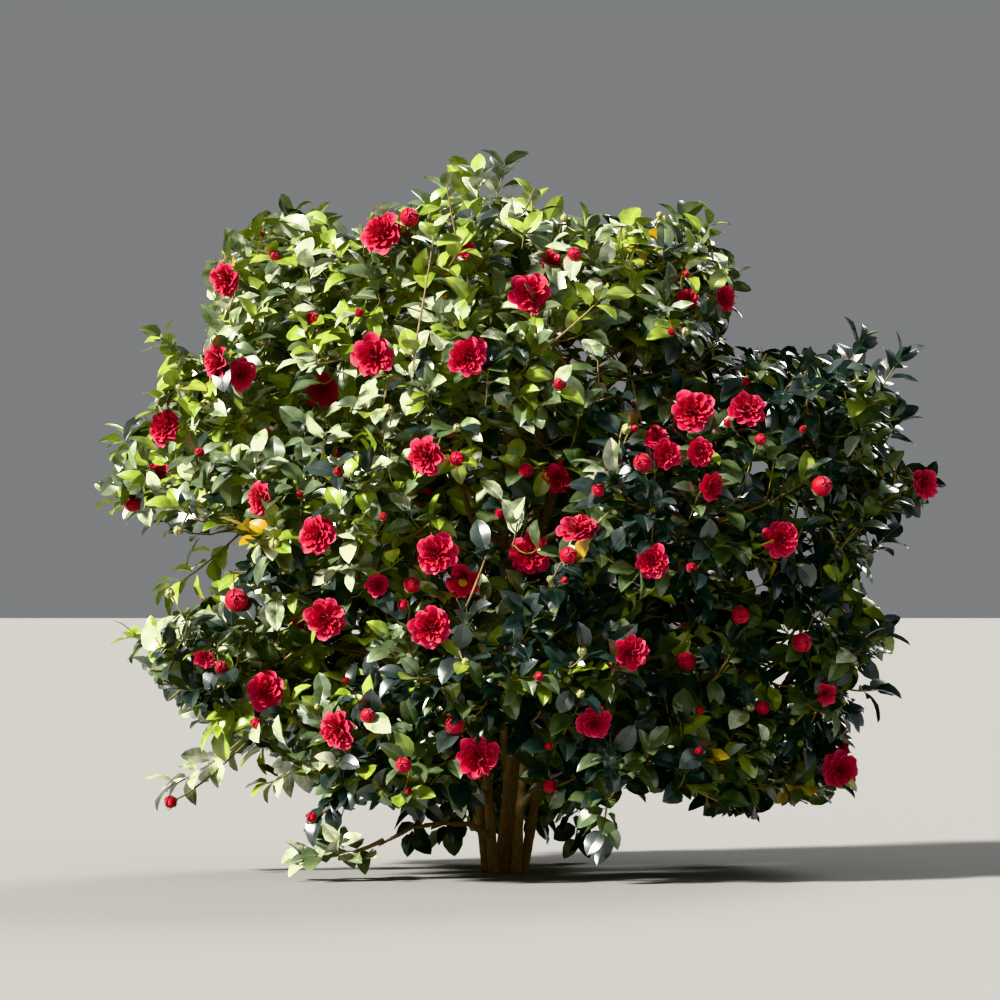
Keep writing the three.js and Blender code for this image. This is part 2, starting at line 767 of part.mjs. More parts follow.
function growSpray(spray, limbs, seenFlowers, number) {
  const line = leaderLine(spray);
  const leader = leaderSolid(spray, line);
  const grown = [];

  for (const point of seenFlowers) {
    const turn = FLOWER.tilt * 2 * (chance(number, point.x) - 0.5);
    const facing = new THREE.Vector3(turn, -1, FLOWER.tilt).normalize();
    const flowers = flowerPlaces(point).map((back) => () => {
      const share = (0.8 * back.clone().sub(spray.entry).dot(spray.heading)) / spray.length;
      const root = line.getPointAt(THREE.MathUtils.clamp(share, TWIG.first, TWIG.last));
      return shootSolid(root, back, TWIG, { facing });
    });
    const flower = firstThatFits(spray, limbs, grown, flowers);
    if (flower) grown.push(flower);
  }
  growSideLeaves(spray, limbs, grown, line.getPointAt(0.35), line.getPointAt(1), LEADER_LEAVES, number);

  let unseenFlowers = seenFlowers.length ? 0 : UNSEEN_FLOWERS_PER_SPRAY;
  for (let i = 0; i < TWIG.perSpray; i++) {
    const share = THREE.MathUtils.lerp(TWIG.first, TWIG.last, i / (TWIG.perSpray - 1));
    const root = line.getPointAt(share);
    const spread = TWIG.spread * DEGREES * (1 - TWIG.narrowing * share);
    const direction = directionInRoom(spray, spread, i * GOLDEN_TURN + 2 * Math.PI * chance(number));
    const run = freeRun(spray, root, direction);
    const tipFor = (leafLength) =>
      root.clone().addScaledVector(direction, Math.max(TWIG.shortest, run - 1.1 * leafLength));
    const endings = LEAF_TRIES.map((size) => () => {
      const leafLength = spray.leafSize * size;
      return shootSolid(root, tipFor(leafLength), TWIG, { leafLength });
    });
    const bears = unseenFlowers > 0 && i > 1;
    if (bears) {
      const back = root.clone().addScaledVector(direction, run - 2 * FLOWER.depth);
      const facing = back.clone().sub(CROWN_HEART).normalize();
      endings.unshift(() => shootSolid(root, back, TWIG, { facing }));
    }
    const shoot = firstThatFits(spray, limbs, grown, endings);
    if (!shoot) continue;
    grown.push(shoot);
    if (bears) unseenFlowers -= 1;
    const tip = tipFor(spray.leafSize);
    const count = Math.round(root.distanceTo(tip) / LEAF_SPACING);
    growSideLeaves(spray, limbs, grown, root, tip, count, i);
  }
  return wholeBody(wasm.Manifold.union([leader, ...grown]));
}

function meshOf(name, solid, material) {
  const mesh = new THREE.Mesh(geometryOf(solid), material);
  mesh.name = name;
  return mesh;
}

const sprays = layOutSprays();
const stems = growStems(sprays);
const boughs = growBoughs(sprays, stems);
const limbs = [...stems, ...boughs];
const seenFlowers = shareOutSeenFlowers(sprays);

const shrub = new THREE.Group();
for (const wood of limbs) shrub.add(meshOf(wood.name, wood.solid, BARK));
sprays.forEach((spray, i) => {
  const solid = growSpray(spray, limbs, seenFlowers.get(spray), i);
  shrub.add(meshOf(`foliage_${spray.name}`, solid, FOLIAGE));
});

export default shrub;
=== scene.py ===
"""A camellia shrub in flower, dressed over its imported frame. Lengths are in metres.

The ground is at z = 0, the side that is seen faces -Y, and left is -X. Limbs carry sprays of twigs,
the twigs carry leaves, and flowers, half-open flowers and buds sit among them on short stalks.
"""

import itertools
import math

import bmesh
import bpy
import numpy as np
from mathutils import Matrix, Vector, noise


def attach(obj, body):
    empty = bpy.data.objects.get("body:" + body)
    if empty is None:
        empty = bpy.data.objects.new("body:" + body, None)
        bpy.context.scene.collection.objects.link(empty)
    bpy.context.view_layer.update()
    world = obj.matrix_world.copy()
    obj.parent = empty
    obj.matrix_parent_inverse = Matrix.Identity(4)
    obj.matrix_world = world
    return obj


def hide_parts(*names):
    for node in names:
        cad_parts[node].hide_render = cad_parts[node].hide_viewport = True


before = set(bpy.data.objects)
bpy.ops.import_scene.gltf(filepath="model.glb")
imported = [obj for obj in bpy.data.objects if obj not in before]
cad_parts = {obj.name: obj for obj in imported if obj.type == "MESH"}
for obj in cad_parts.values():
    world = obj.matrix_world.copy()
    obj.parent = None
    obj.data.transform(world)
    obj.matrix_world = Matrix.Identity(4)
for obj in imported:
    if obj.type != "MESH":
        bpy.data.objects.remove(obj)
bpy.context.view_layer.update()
scene = bpy.context.scene
rng = np.random.default_rng(11)


# Trunk, stems and boughs
# The living wood: a clump of stems from one root, with the boughs that have grown out of them. The
# bark is thin and grey-brown, a little ridged along the limb, with paler patches and raised pores.
LIMBS = [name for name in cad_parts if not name.startswith("foliage_")]
MASSES = [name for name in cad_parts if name.startswith("foliage_")]

# The cells of the skin round the limbs, how often it is rounded and how much that takes off, and the
# height and the scale of the ridges and swellings on it.
WOOD_CELL = 0.0052
WOOD_ROUNDING = 10
WOOD_REGAINED = 0.0016
RIDGE_HEIGHT = 0.0011
SWELL_HEIGHT = 0.0016
RIDGE_SCALE = (95, 95, 17)
SWELL_SCALE = 16

# The sockets of a Mix node that is set to colours.
MIX_SHARE, MIX_FIRST, MIX_SECOND, MIX_RESULT = 0, 6, 7, 2


def colour(red, green, blue):
    """A colour given in display values from 0 to 255, as a shader takes it."""
    shares = [value / 255 for value in (red, green, blue)]
    return (*(((s + 0.055) / 1.055) ** 2.4 if s > 0.04 else s / 12.92 for s in shares), 1)


class Socket:
    """An output of a finish's nodes. Sums, differences and products on it add Math nodes."""

    def __init__(self, finish, output):
        self.finish = finish
        self.output = output

    def math(self, operation, *values):
        return self.finish.node("Math", {"operation": operation}, dict(enumerate(values)))

    def __add__(self, other):
        return self.math("ADD", self, other)

    def __sub__(self, other):
        return self.math("SUBTRACT", self, other)

    def __rsub__(self, other):
        return self.math("SUBTRACT", other, self)

    def __mul__(self, other):
        return self.math("MULTIPLY", self, other)

    __radd__ = __add__
    __rmul__ = __mul__

    def size(self):
        return self.math("ABSOLUTE", self)

    def fraction(self):
        return self.math("FRACT", self)

    def limited(self):
        return self.finish.node("Clamp", {}, {"Value": self})


class Finish:
    """A material, with one method that adds a node and a few that name the finishes' usual ones."""

    def __init__(self, name, constants):
        self.material = bpy.data.materials.new(name)
        self.material.use_nodes = True
        self.tree = self.material.node_tree
        self.surface = self.tree.nodes["Principled BSDF"]
        self.join(self.surface, constants)

    def node(self, kind, settings, sockets, output=0):
        made = self.tree.nodes.new("ShaderNode" + kind)
        for name, value in settings.items():
            setattr(made, name, value)
        self.join(made, sockets)
        return Socket(self, made.outputs[output])

    def join(self, node, sockets):
        for name, value in sockets.items():
            if isinstance(value, Socket):
                self.tree.links.new(value.output, node.inputs[name])
            else:
                node.inputs[name].default_value = value

    def blend(self, share, first, second):
        """The colour that lies the given share of the way from the first to the second."""
        sockets = {MIX_SHARE: share, MIX_FIRST: first, MIX_SECOND: second}
        return self.node("Mix", {"data_type": "RGBA"}, sockets, MIX_RESULT)

    def noise(self, place, scale, detail=3.0):
        return self.node("TexNoise", {}, {"Vector": place, "Scale": scale, "Detail": detail})

    def place(self):
        return self.node("TexCoord", {}, {}, "Object")

    def stretched(self, scale):
        return self.node("Mapping", {}, {"Vector": self.place(), "Scale": scale})

    def raise_by(self, height, strength, distance):
        sockets = {"Height": height, "Strength": strength, "Distance": distance}
        self.join(self.surface, {"Normal": self.node("Bump", {}, sockets)})


def bark_finish(name, dark, pale, bloom):
    """Bark with fine grain along the limb, paler patches, and a green bloom on some of it."""
    finish = Finish(name, {"Specular IOR Level": 0.35})
    grain = finish.noise(finish.stretched((1, 1, 0.2)), 210, 6)
    patches = finish.noise(finish.place(), 21, 4)
    pores = finish.node("TexVoronoi", {}, {"Vector": finish.stretched((1, 1, 2.2)), "Scale": 170})
    pore = (1 - pores * 3.2).limited()
    wood = finish.blend((grain * 1.5 - 0.25).limited(), dark, pale)
    grown = finish.blend((patches * 3 - 1.45).limited() * 0.55, wood, bloom)
    finish.join(finish.surface, {
        "Base Color": finish.blend(pore * 0.35, grown, pale),
        "Roughness": 0.92 - grain * 0.3,
    })
    finish.raise_by(grain + pore * 0.4, 0.5, 0.0012)
    return finish.material


def shown_mesh(name, mesh, material, stands_for):
    """Makes a mesh a piece of the shrub."""
    mesh.materials.clear()
    mesh.materials.append(material)
    mesh.polygons.foreach_set("use_smooth", np.ones(len(mesh.polygons), bool))
    piece = bpy.data.objects.new(name, mesh)
    scene.collection.objects.link(piece)
    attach(piece, "root")
    if stands_for:
        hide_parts(*stands_for)
    return piece


def skin_round_limbs():
    """One skin round all the limbs, with the forks between them healed over."""
    shell = bmesh.new()
    for name in LIMBS:
        shell.from_mesh(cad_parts[name].data)
    mesh = bpy.data.meshes.new("limbs")
    shell.to_mesh(mesh)
    shell.free()
    body = bpy.data.objects.new("limbs", mesh)
    scene.collection.objects.link(body)
    cells = body.modifiers.new("cells", "REMESH")
    cells.mode = "VOXEL"
    cells.voxel_size = WOOD_CELL
    rounding = body.modifiers.new("rounding", "SMOOTH")
    rounding.factor = 0.5
    rounding.iterations = WOOD_ROUNDING
    skin = bpy.data.meshes.new_from_object(body.evaluated_get(bpy.context.evaluated_depsgraph_get()))
    bpy.data.objects.remove(body)
    return skin


def values_of(items, field, width, kind=np.float32):
    """One field of every vertex, loop or face of a mesh, as an array with a row for each."""
    values = np.empty(len(items) * width, kind)
    items.foreach_get(field, values)
    return values.reshape(-1, width)


def roughen_bark(skin):
    """Gives back what rounding took off, and raises the bark's ridges and swellings."""
    places = values_of(skin.vertices, "co", 3)
    outward = values_of(skin.vertices, "normal", 3)
    ridges = [noise.noise(Vector(place)) for place in places * RIDGE_SCALE]
    swells = [noise.noise(Vector(place)) for place in places * SWELL_SCALE]
    height = WOOD_REGAINED + RIDGE_HEIGHT * np.array(ridges) + SWELL_HEIGHT * np.array(swells)
    places += outward * height[:, None]
    places[:, 2] = np.maximum(places[:, 2], 0)
    skin.vertices.foreach_set("co", places.ravel())
    skin.update()


limb_skin = skin_round_limbs()
roughen_bark(limb_skin)
old_bark = bark_finish("old_bark", colour(82, 64, 50), colour(158, 138, 114), colour(104, 106, 78))
shown_mesh("trunk_stems_and_boughs", limb_skin, old_bark, LIMBS)


# Leaders and twigs
# Each limb ends in a spray: a leader runs on from it, twigs branch off the leader in turn round it,
# and side twigs branch off those. The wood is tan, thin and stiff, and the youngest is greenish.
UP = np.array([0, 0, 1.0])
RIGHTWARD = np.array([1.0, 0, 0])
FRONTWARD = np.array([0, -1.0, 0])
GOLDEN_TURN = math.radians(137.5)

# Where the shoot tips of one tier of the crown lie. Height, reach and floor are given for the left,
# right, front and back, and blend between them. Rise is how steeply the leaders climb, in degrees,
# turn is where the tier's first spray stands, and room is half of a spray's space across its leader.
TIERS = (
    {
        "name": "skirt", "turn": 18, "rise": -8, "length": 0.56, "room": (0.5, 0.23),
        "height": (0.235, 0.25, 0.34, 0.27), "reach": (1.0, 0.985, 0.9, 0.76),
        "floor": (0.175, 0.055, 0.185, 0.09),
    },
    {
        "name": "low", "turn": -18, "rise": 4, "length": 0.62, "room": (0.56, 0.27),
        "height": (0.655, 0.64, 0.62, 0.64), "reach": (1.15, 1.13, 1.01, 0.85),
        "floor": (0.2, 0.1, 0.2, 0.1),
    },
    {
        "name": "middle", "turn": 18, "rise": 14, "length": 0.64, "room": (0.58, 0.29),
        "height": (1.035, 1.05, 1.0, 1.04), "reach": (1.22, 1.29, 1.03, 0.89),
        "floor": (0.2, 0.2, 0.2, 0.2),
    },
    {
        "name": "shoulder", "turn": -18, "rise": 30, "length": 0.62, "room": (0.52, 0.29),
        "height": (1.48, 1.45, 1.44, 1.45), "reach": (1.06, 1.19, 0.91, 0.81),
        "floor": (0.2, 0.2, 0.2, 0.2),
    },
    {
        "name": "top", "turn": 18, "rise": 56, "length": 0.58, "room": (0.4, 0.28),
        "height": (1.8, 1.77, 1.77, 1.78), "reach": (0.83, 0.6, 0.64, 0.57),
        "floor": (0.2, 0.2, 0.2, 0.2),
    },
)
SPRAYS_IN_TIER = 5
PEAK = {
    "tip": (-0.008, -0.06, 1.948), "azimuth": 200, "rise": 84, "length": 0.52, "room": (0.33, 0.33),
    "floor": 0.2,
}
GROUND_SHOOT = {
    "tip": (-0.55, -0.59, 0.055), "azimuth": 226, "rise": -8, "length": 0.33, "room": (0.15, 0.08),
    "floor": 0.004,
}

# A spray in less room than this across has side twigs only.
LEAST_BRANCHED_ROOM = 0.2

LEAF_LENGTH = 0.084

# The kinds of shoot. Twigs stand from the first to the last share of their leader, at an angle that
# narrows to its tip. Lift is how far below the straight way to its end one sags, and leaf room how
# much of a leaf's length is left free between that end and the room's edge.
LEADER = {"radius": 0.006, "tip_radius": 0.003, "bow": 0.22, "steps": 9}
TWIG = {
    "radius": 0.0038, "tip_radius": 0.0022, "count": 15, "spread": 66, "narrowing": 0.36,
    "first": 0.1, "last": 0.76, "lift": 0.14, "steps": 6, "shortest": 0.05, "leaf_room": 0.8,
    "sides": 6,
}
SIDE_TWIG = {
    "radius": 0.0024, "tip_radius": 0.0014, "spacing": 0.07, "length": 0.19, "lengths": (0.55, 1.25),
    "angle": 52, "angles": (0.75, 1.15), "lift": 0.34, "steps": 4, "shortest": 0.02, "leaf_room": 0.7,
    "first": 0.22, "stretch": 0.74, "jitter": (0.2, 0.8), "flatness": 0.7, "raised": 0.35, "sides": 4,
}

# How much side twigs tend upwards, and how much more over the given height from the given start.
CLIMB = {"least": 0.2, "more": 0.55, "from": 0.9, "over": 0.8}

# The bud that ends a shoot, with the share of its length that its widest place is at, and the
# swelling of a shoot at its nodes.
SHOOT_BUD = {"length": 0.009, "radius": 0.0021, "widest": 0.35, "tip_share": 0.15}
NODE_SWELLING = 0.12
NODE_TURN = 2.4

# Where along its length a rising shoot is bent, and the place that the crown grows away from.
BEND_SHARE = 0.55
CROWN_HEART = np.array([0, 0, 0.8])

# Where the crown is looked at from, and its edge and its gaps as they are seen from there: places
# across and up in the plane of the trunk, each gap with its half width and half height.
EYE = np.array([-0.0135, -15.9, 0.713])
EDGE = np.array((
    (-0.176, 1.806), (-0.014, 1.82), (0.068, 1.782), (0.149, 1.755), (0.365, 1.769), (0.478, 1.777),
    (0.559, 1.706), (0.602, 1.647), (0.635, 1.566), (0.586, 1.463), (0.621, 1.35), (0.667, 1.399),
    (0.77, 1.423), (0.851, 1.382), (0.918, 1.404), (0.991, 1.377), (1.048, 1.345), (0.99, 1.31),
    (1.08, 1.25), (1.01, 1.166), (1.075, 1.107), (1.165, 1.06), (1.15, 1.0), (1.03, 0.955),
    (0.95, 0.92), (0.99, 0.885), (0.96, 0.84), (0.975, 0.8), (0.945, 0.755), (1.01, 0.715),
    (1.045, 0.66), (1.03, 0.6), (0.97, 0.555), (0.94, 0.5), (0.93, 0.46), (0.99, 0.4),
    (0.991, 0.302), (0.918, 0.208), (0.635, 0.154), (0.499, 0.194), (0.365, 0.221), (0.149, 0.154),
    (-0.014, 0.127), (-0.203, 0.146), (-0.446, 0.216), (-0.648, 0.335), (-0.721, 0.329),
    (-0.905, 0.464), (-0.999, 0.594), (-0.959, 0.652), (-0.856, 0.702), (-0.807, 0.734),
    (-0.753, 0.805), (-0.667, 0.834), (-0.632, 0.869), (-0.697, 0.888), (-0.734, 0.929), (-0.853, 0.95),
    (-0.972, 0.956), (-1.072, 1.045), (-1.053, 1.139), (-0.959, 1.261), (-0.918, 1.342),
    (-0.926, 1.431), (-0.824, 1.391), (-0.788, 1.45), (-0.81, 1.625), (-0.756, 1.685),
    (-0.694, 1.747), (-0.581, 1.801), (-0.473, 1.755), (-0.419, 1.712), (-0.365, 1.782), (-0.27, 1.804),
))
EDGE_RAGGEDNESS = 0.024
GAPS = (
    (0.19, 1.4, 0.085, 0.05),
    (0.32, 1.36, 0.1, 0.07),
    (0.455, 1.385, 0.06, 0.05),
    (0.684, 1.085, 0.04, 0.035),
    (0.72, 1.015, 0.04, 0.03),
    (0.8, 0.967, 0.045, 0.035),
    (0.828, 0.877, 0.035, 0.04),
    (0.676, 0.777, 0.035, 0.04),
    (0.85, 0.684, 0.035, 0.035),
    (0.761, 0.625, 0.035, 0.035),
    (0.732, 0.512, 0.045, 0.035),
)

# Shoots that stand out of the crown's edge: where each is seen to leave it, and its tip.
STRAY_SHOOTS = (
    ((-0.049, 1.747), (0.008, 1.944)), ((-0.089, 1.679), (-0.062, 1.922)),
    ((-0.105, 1.647), (-0.1, 1.917)), ((-0.157, 1.666), (-0.157, 1.879)),
    ((-0.203, 1.706), (-0.197, 1.836)), ((0.076, 1.747), (0.076, 1.847)),
    ((0.122, 1.706), (0.111, 1.793)), ((-0.581, 1.706), (-0.562, 1.82)),
    ((-0.656, 1.666), (-0.662, 1.76)), ((-0.505, 1.693), (-0.518, 1.787)),
    ((-0.845, 1.377), (-0.964, 1.466)), ((-0.891, 1.234), (-0.953, 1.307)),
    ((-0.959, 1.126), (-1.075, 1.166)), ((-0.959, 1.026), (-1.094, 1.031)),
    ((-0.721, 0.923), (-0.937, 0.74)), ((-0.864, 0.599), (-1.045, 0.648)),
    ((-0.702, 0.351), (-0.931, 0.211)), ((-0.553, 0.275), (-0.675, 0.221)),
    ((0.891, 1.296), (0.98, 1.474)), ((0.98, 1.247), (1.088, 1.423)),
    ((0.959, 1.085), (1.088, 1.258)), ((1.053, 1.031), (1.169, 1.064)),
    ((0.675, 1.288), (0.68, 1.404)), ((0.527, 1.666), (0.559, 1.782)),
    ((0.44, 1.679), (0.486, 1.806)), ((0.257, 1.647), (0.197, 1.782)),
    ((0.594, 1.571), (0.624, 1.631)), ((0.98, 0.842), (1.058, 0.923)),
    ((0.972, 0.626), (1.048, 0.659)), ((0.959, 0.464), (1.04, 0.491)),
    ((-0.413, 0.262), (-0.518, 0.119)), ((-0.23, 0.208), (-0.251, 0.065)),
    ((-0.095, 0.221), (-0.17, 0.081)), ((0.084, 0.194), (0.097, 0.097)),
    ((0.216, 0.194), (0.181, 0.043)), ((0.275, 0.194), (0.257, 0.065)),
    ((-0.689, 0.464), (-0.791, 0.351)), ((-0.608, 0.405), (-0.675, 0.292)),
    ((-0.553, 0.37), (-0.575, 0.238)), ((-0.419, 0.27), (-0.464, 0.178)),
    ((-0.176, 0.316), (-0.1, 0.189)), ((0.108, 0.302), (0.024, 0.173)),
    ((-0.014, 0.37), (-0.041, 0.216)), ((0.149, 0.275), (0.138, 0.157)),
    ((-0.135, 0.356), (-0.159, 0.211)), ((-0.553, 0.95), (-0.705, 0.88)),
)
STRAY = {
    "radius": 0.0027, "tip_radius": 0.0015, "lift": 0.08, "steps": 5, "last_leaf": 0.045,
    "shortest": 0.04,
}

# Bare stems that show in front of the leaves, with a few leaves at the end: where each is seen to
# leave the wood behind, and its tip.
SHOWING_STEMS = (
    ((-0.149, 1.647), (-0.157, 1.85)), ((-0.095, 1.609), (-0.089, 1.777)),
    ((-0.24, 1.423), (-0.192, 1.72)), ((0.07, 1.766), (0.078, 1.842)),
    ((0.041, 1.652), (0.051, 1.72)), ((0.051, 1.372), (0.26, 1.55)),
    ((0.257, 1.247), (0.251, 1.377)), ((-0.046, 1.234), (-0.046, 1.377)),
    ((-0.321, 1.183), (-0.378, 1.258)), ((-0.089, 0.878), (-0.084, 1.002)),
    ((-0.084, 0.678), (-0.046, 0.869)), ((0.351, 1.223), (0.338, 1.35)),
)
SHOWING_STEM = {
    "radius": 0.0034, "tip_radius": 0.002, "lift": 0.06, "steps": 5, "nearer": 0.05, "within": 0.05,
}

# The shoots that stand out of the crown's back and sides. They start behind a given depth, at least
# so far out in their sprays' rooms, and no tip comes further back than the last.
UNSEEN_STRAYS = {
    "count": 40, "length": (0.09, 0.2), "climb": 0.55, "scatter": 0.3, "behind": -0.1, "far_out": 0.8,
    "furthest_back": 0.86, "level": (1, 1, 0.4),
}

# Where the sprays leave a window between them, a twig has grown in. The crown is looked over in steps
# round it and up it, at two insets from the shoots' tips and further in where its edge is, and a
# window is a place there that no wood comes near. Each such twig has a room of its own, a patch.
WINDOW = {
    "turn": 8, "lowest": 0.4, "highest": 1.66, "step": 0.105, "insets": (0.84, 0.66),
    "narrowing": 0.06, "narrowest": 0.3, "tip_beyond": 0.1, "apart": 0.12,
}
PATCH = {"rise": 10, "length": 0.44, "room": (0.21, 0.19), "floor": 0.12}


def chance(number):
    """A share from 0 to 1 that is always the same for the same number."""
    value = math.sin((number + 1) * 12.9898) * 43758.5453
    return value - math.floor(value)


def unit(vectors):
    return vectors / np.linalg.norm(vectors, axis=-1, keepdims=True)


def direction_of(azimuth, rise):
    turn, climb = math.radians(azimuth), math.radians(rise)
    level = math.cos(climb)
    return np.array([math.cos(turn) * level, math.sin(turn) * level, math.sin(climb)])


def sides_facing(sizes, azimuth):
    """The two of the four sides' sizes that an azimuth lies between, and its parts across and along."""
    left, right, front, back = sizes
    across, along = math.cos(math.radians(azimuth)), math.sin(math.radians(azimuth))
    return right if across > 0 else left, back if along > 0 else front, across, along


def reach_at(sizes, azimuth):
    sideways, depth, across, along = sides_facing(sizes, azimuth)
    return 1 / math.hypot(across / sideways, along / depth)


def height_at(sizes, azimuth):
    sideways, depth, across, along = sides_facing(sizes, azimuth)
    return sideways * across**2 + depth * along**2


class Spray:
    """The room that one mass of foliage grows in, from its entry, where a limb ends, to its tip."""

    def __init__(self, tip, azimuth, rise, length, room, floor):
        self.tip = np.array(tip)
        self.heading = direction_of(azimuth, rise)
        self.across = unit(np.cross(self.heading, UP))
        self.over = unit(np.cross(self.across, self.heading))
        self.axes = np.array([self.heading, self.across, self.over])
        self.entry = self.tip - length * self.heading
        self.launch = unit(self.heading - LEADER["bow"] * self.over)
        self.centre = (self.entry + self.tip) / 2
        self.halves = np.array([length / 2, *room])
        self.wall_points = [np.array([0, 0, floor])]
        self.wall_outward = [-UP]

    def keep_apart_from(self, other):
        self.wall_points.append((self.centre + other.centre) / 2)
        self.wall_outward.append(unit(other.centre - self.centre))

    def in_room(self, points):
        """The points as shares of the room's half sizes, so that the room is the unit ball."""
        return (points - self.centre) @ self.axes.T / self.halves

    def beyond_walls(self, points):
        offsets = points[..., None, :] - np.array(self.wall_points)
        return (offsets * np.array(self.wall_outward)).sum(-1)

    def holds(self, points, over=0.0):
        """Whether each point is in the room, or out of it by less than the length given."""
        inside = np.linalg.norm(self.in_room(points), axis=-1) < 1 + over / self.halves.min()
        return inside & (self.beyond_walls(points) < over).all(-1)

    def free_run(self, point, direction):
        """How far a twig can run from a point in one direction before it leaves the room."""
        start = self.in_room(point)
        step = direction @ self.axes.T / self.halves
        a, b, c = step @ step, start @ step, start @ start - 1
        run = (math.sqrt(max(0, b * b - a * c)) - b) / a
        speeds = np.array(self.wall_outward) @ direction
        rooms = -self.beyond_walls(point)
        nearing = speeds > 1e-6
        return min([run, *(rooms[nearing] / speeds[nearing])])

    def aim(self, spread, turn):
        """A direction off the leader, with the room's own width and height stretching it."""
        aside = math.sin(spread)
        parts = np.array([math.cos(spread), aside * math.cos(turn), aside * math.sin(turn)])
        return unit(parts * self.halves @ self.axes)


def lay_out_sprays():
    sprays = []
    for tier in TIERS:
        for ordinal in range(SPRAYS_IN_TIER):
            azimuth = tier["turn"] + 360 / SPRAYS_IN_TIER * ordinal
            tip = direction_of(azimuth, 0) * reach_at(tier["reach"], azimuth)
            tip[2] = height_at(tier["height"], azimuth)
            floor = height_at(tier["floor"], azimuth)
            sprays.append(Spray(tip, azimuth, tier["rise"], tier["length"], tier["room"], floor))
    sprays += [Spray(**PEAK), Spray(**GROUND_SHOOT)]
    for spray in sprays:
        for other in sprays:
            if other is not spray:
                spray.keep_apart_from(other)
    return sprays


def bent_line(start, bend, end, steps):
    """Points along a quadratic curve."""
    t = np.linspace(0, 1, steps + 1)[:, None]
    return (1 - t) ** 2 * start + 2 * t * (1 - t) * bend + t**2 * end


class Shoot:
    """A piece of twig: its line, its radius at each end, and the spray that it belongs to."""

    def __init__(self, line, kind, spray, number):
        self.line = line
        self.stray = kind is STRAY
        self.radii = np.linspace(kind["radius"], kind["tip_radius"], len(line))
        self.spray = spray
        self.number = number
        steps = np.linalg.norm(np.diff(line, axis=0), axis=1)
        self.travelled = np.concatenate([[0], np.cumsum(steps)])
        self.length = self.travelled[-1]

    def point_at(self, distance):
        return np.array([np.interp(distance, self.travelled, self.line[:, axis]) for axis in range(3)])

    def heading_at(self, distance):
        step = min(np.searchsorted(self.travelled, distance), len(self.line) - 1)
        step = max(step, 1)
        return unit(self.line[step] - self.line[step - 1])

    def how_far_out(self):
        """Where in its spray's room the shoot ends: 0 in the middle, 1 at the edge."""
        return np.linalg.norm(self.spray.in_room(self.line[-1]))


def seen_at(points):
    """Where each point is seen in the plane of the trunk, across and up."""
    share = -EYE[1] / (points[..., 1] - EYE[1])
    return EYE[[0, 2]] + (points[..., [0, 2]] - EYE[[0, 2]]) * share[..., None]


def brought_back(place, depth):
    """The point at a given depth that is seen at a place in the plane of the trunk."""
    return EYE + (np.array([place[0], 0, place[1]]) - EYE) * (depth - EYE[1]) / -EYE[1]


def within_edge(places):
    """Whether each place lies within the crown's edge, by counting the crossings to its right."""
    across, height = places[..., 0, None], places[..., 1, None]
    start, end = EDGE, np.roll(EDGE, -1, axis=0)
    crosses = (start[:, 1] > height) != (end[:, 1] > height)
    slope = (end[:, 0] - start[:, 0]) / (end[:, 1] - start[:, 1])
    at = start[:, 0] + (height - start[:, 1]) * slope
    return (crosses & (across < at)).sum(-1) % 2 == 1


def in_gap(places):
    across, height, half_width, half_height = np.array(GAPS).T
    off = ((places[..., 0, None] - across) / half_width) ** 2
    return (off + ((places[..., 1, None] - height) / half_height) ** 2 < 1).any(-1)


def trimmed(line):
    """The stretch of a line from its start to the crown's edge, or all of one that starts outside."""
    inside = within_edge(seen_at(line))
    return line if inside.all() or not inside[0] else line[: np.argmin(inside)]


def rising_line(start, direction, length, kind):
    """A twig's line to a given end, which it reaches from a little below."""
    end = start + direction * length
    bend = start + direction * length * BEND_SHARE - UP * kind["lift"] * length
    return bent_line(start, bend, end, kind["steps"])


def grow_spray(spray, number):
    """The leader, the twigs round it, and the side twigs on those."""
    start = spray.entry
    end = spray.tip - spray.heading * LEAF_LENGTH
    bend = start + spray.launch * np.linalg.norm(end - start) / 2
    leader = Shoot(trimmed(bent_line(start, bend, end, LEADER["steps"])), LEADER, spray, number)
    if spray.halves[1] < LEAST_BRANCHED_ROOM:
        return [leader, *grow_side_twigs(leader, spray)]
    twigs = []
    count = TWIG["count"]
    for i in range(count):
        share = TWIG["first"] + (TWIG["last"] - TWIG["first"]) * i / (count - 1)
        root = leader.point_at(share * leader.length)
        spread = math.radians(TWIG["spread"]) * (1 - TWIG["narrowing"] * share)
        direction = spray.aim(spread, i * GOLDEN_TURN + 2 * math.pi * chance(number))
        run = spray.free_run(root, direction) - LEAF_LENGTH * TWIG["leaf_room"]
        line = trimmed(rising_line(root, direction, run, TWIG))
        if run > TWIG["shortest"] and len(line) > 2:
            twigs.append(Shoot(line, TWIG, spray, i))
    shoots = [leader, *twigs]
    for bearer in [leader, *twigs]:
        shoots += grow_side_twigs(bearer, spray)
    return shoots


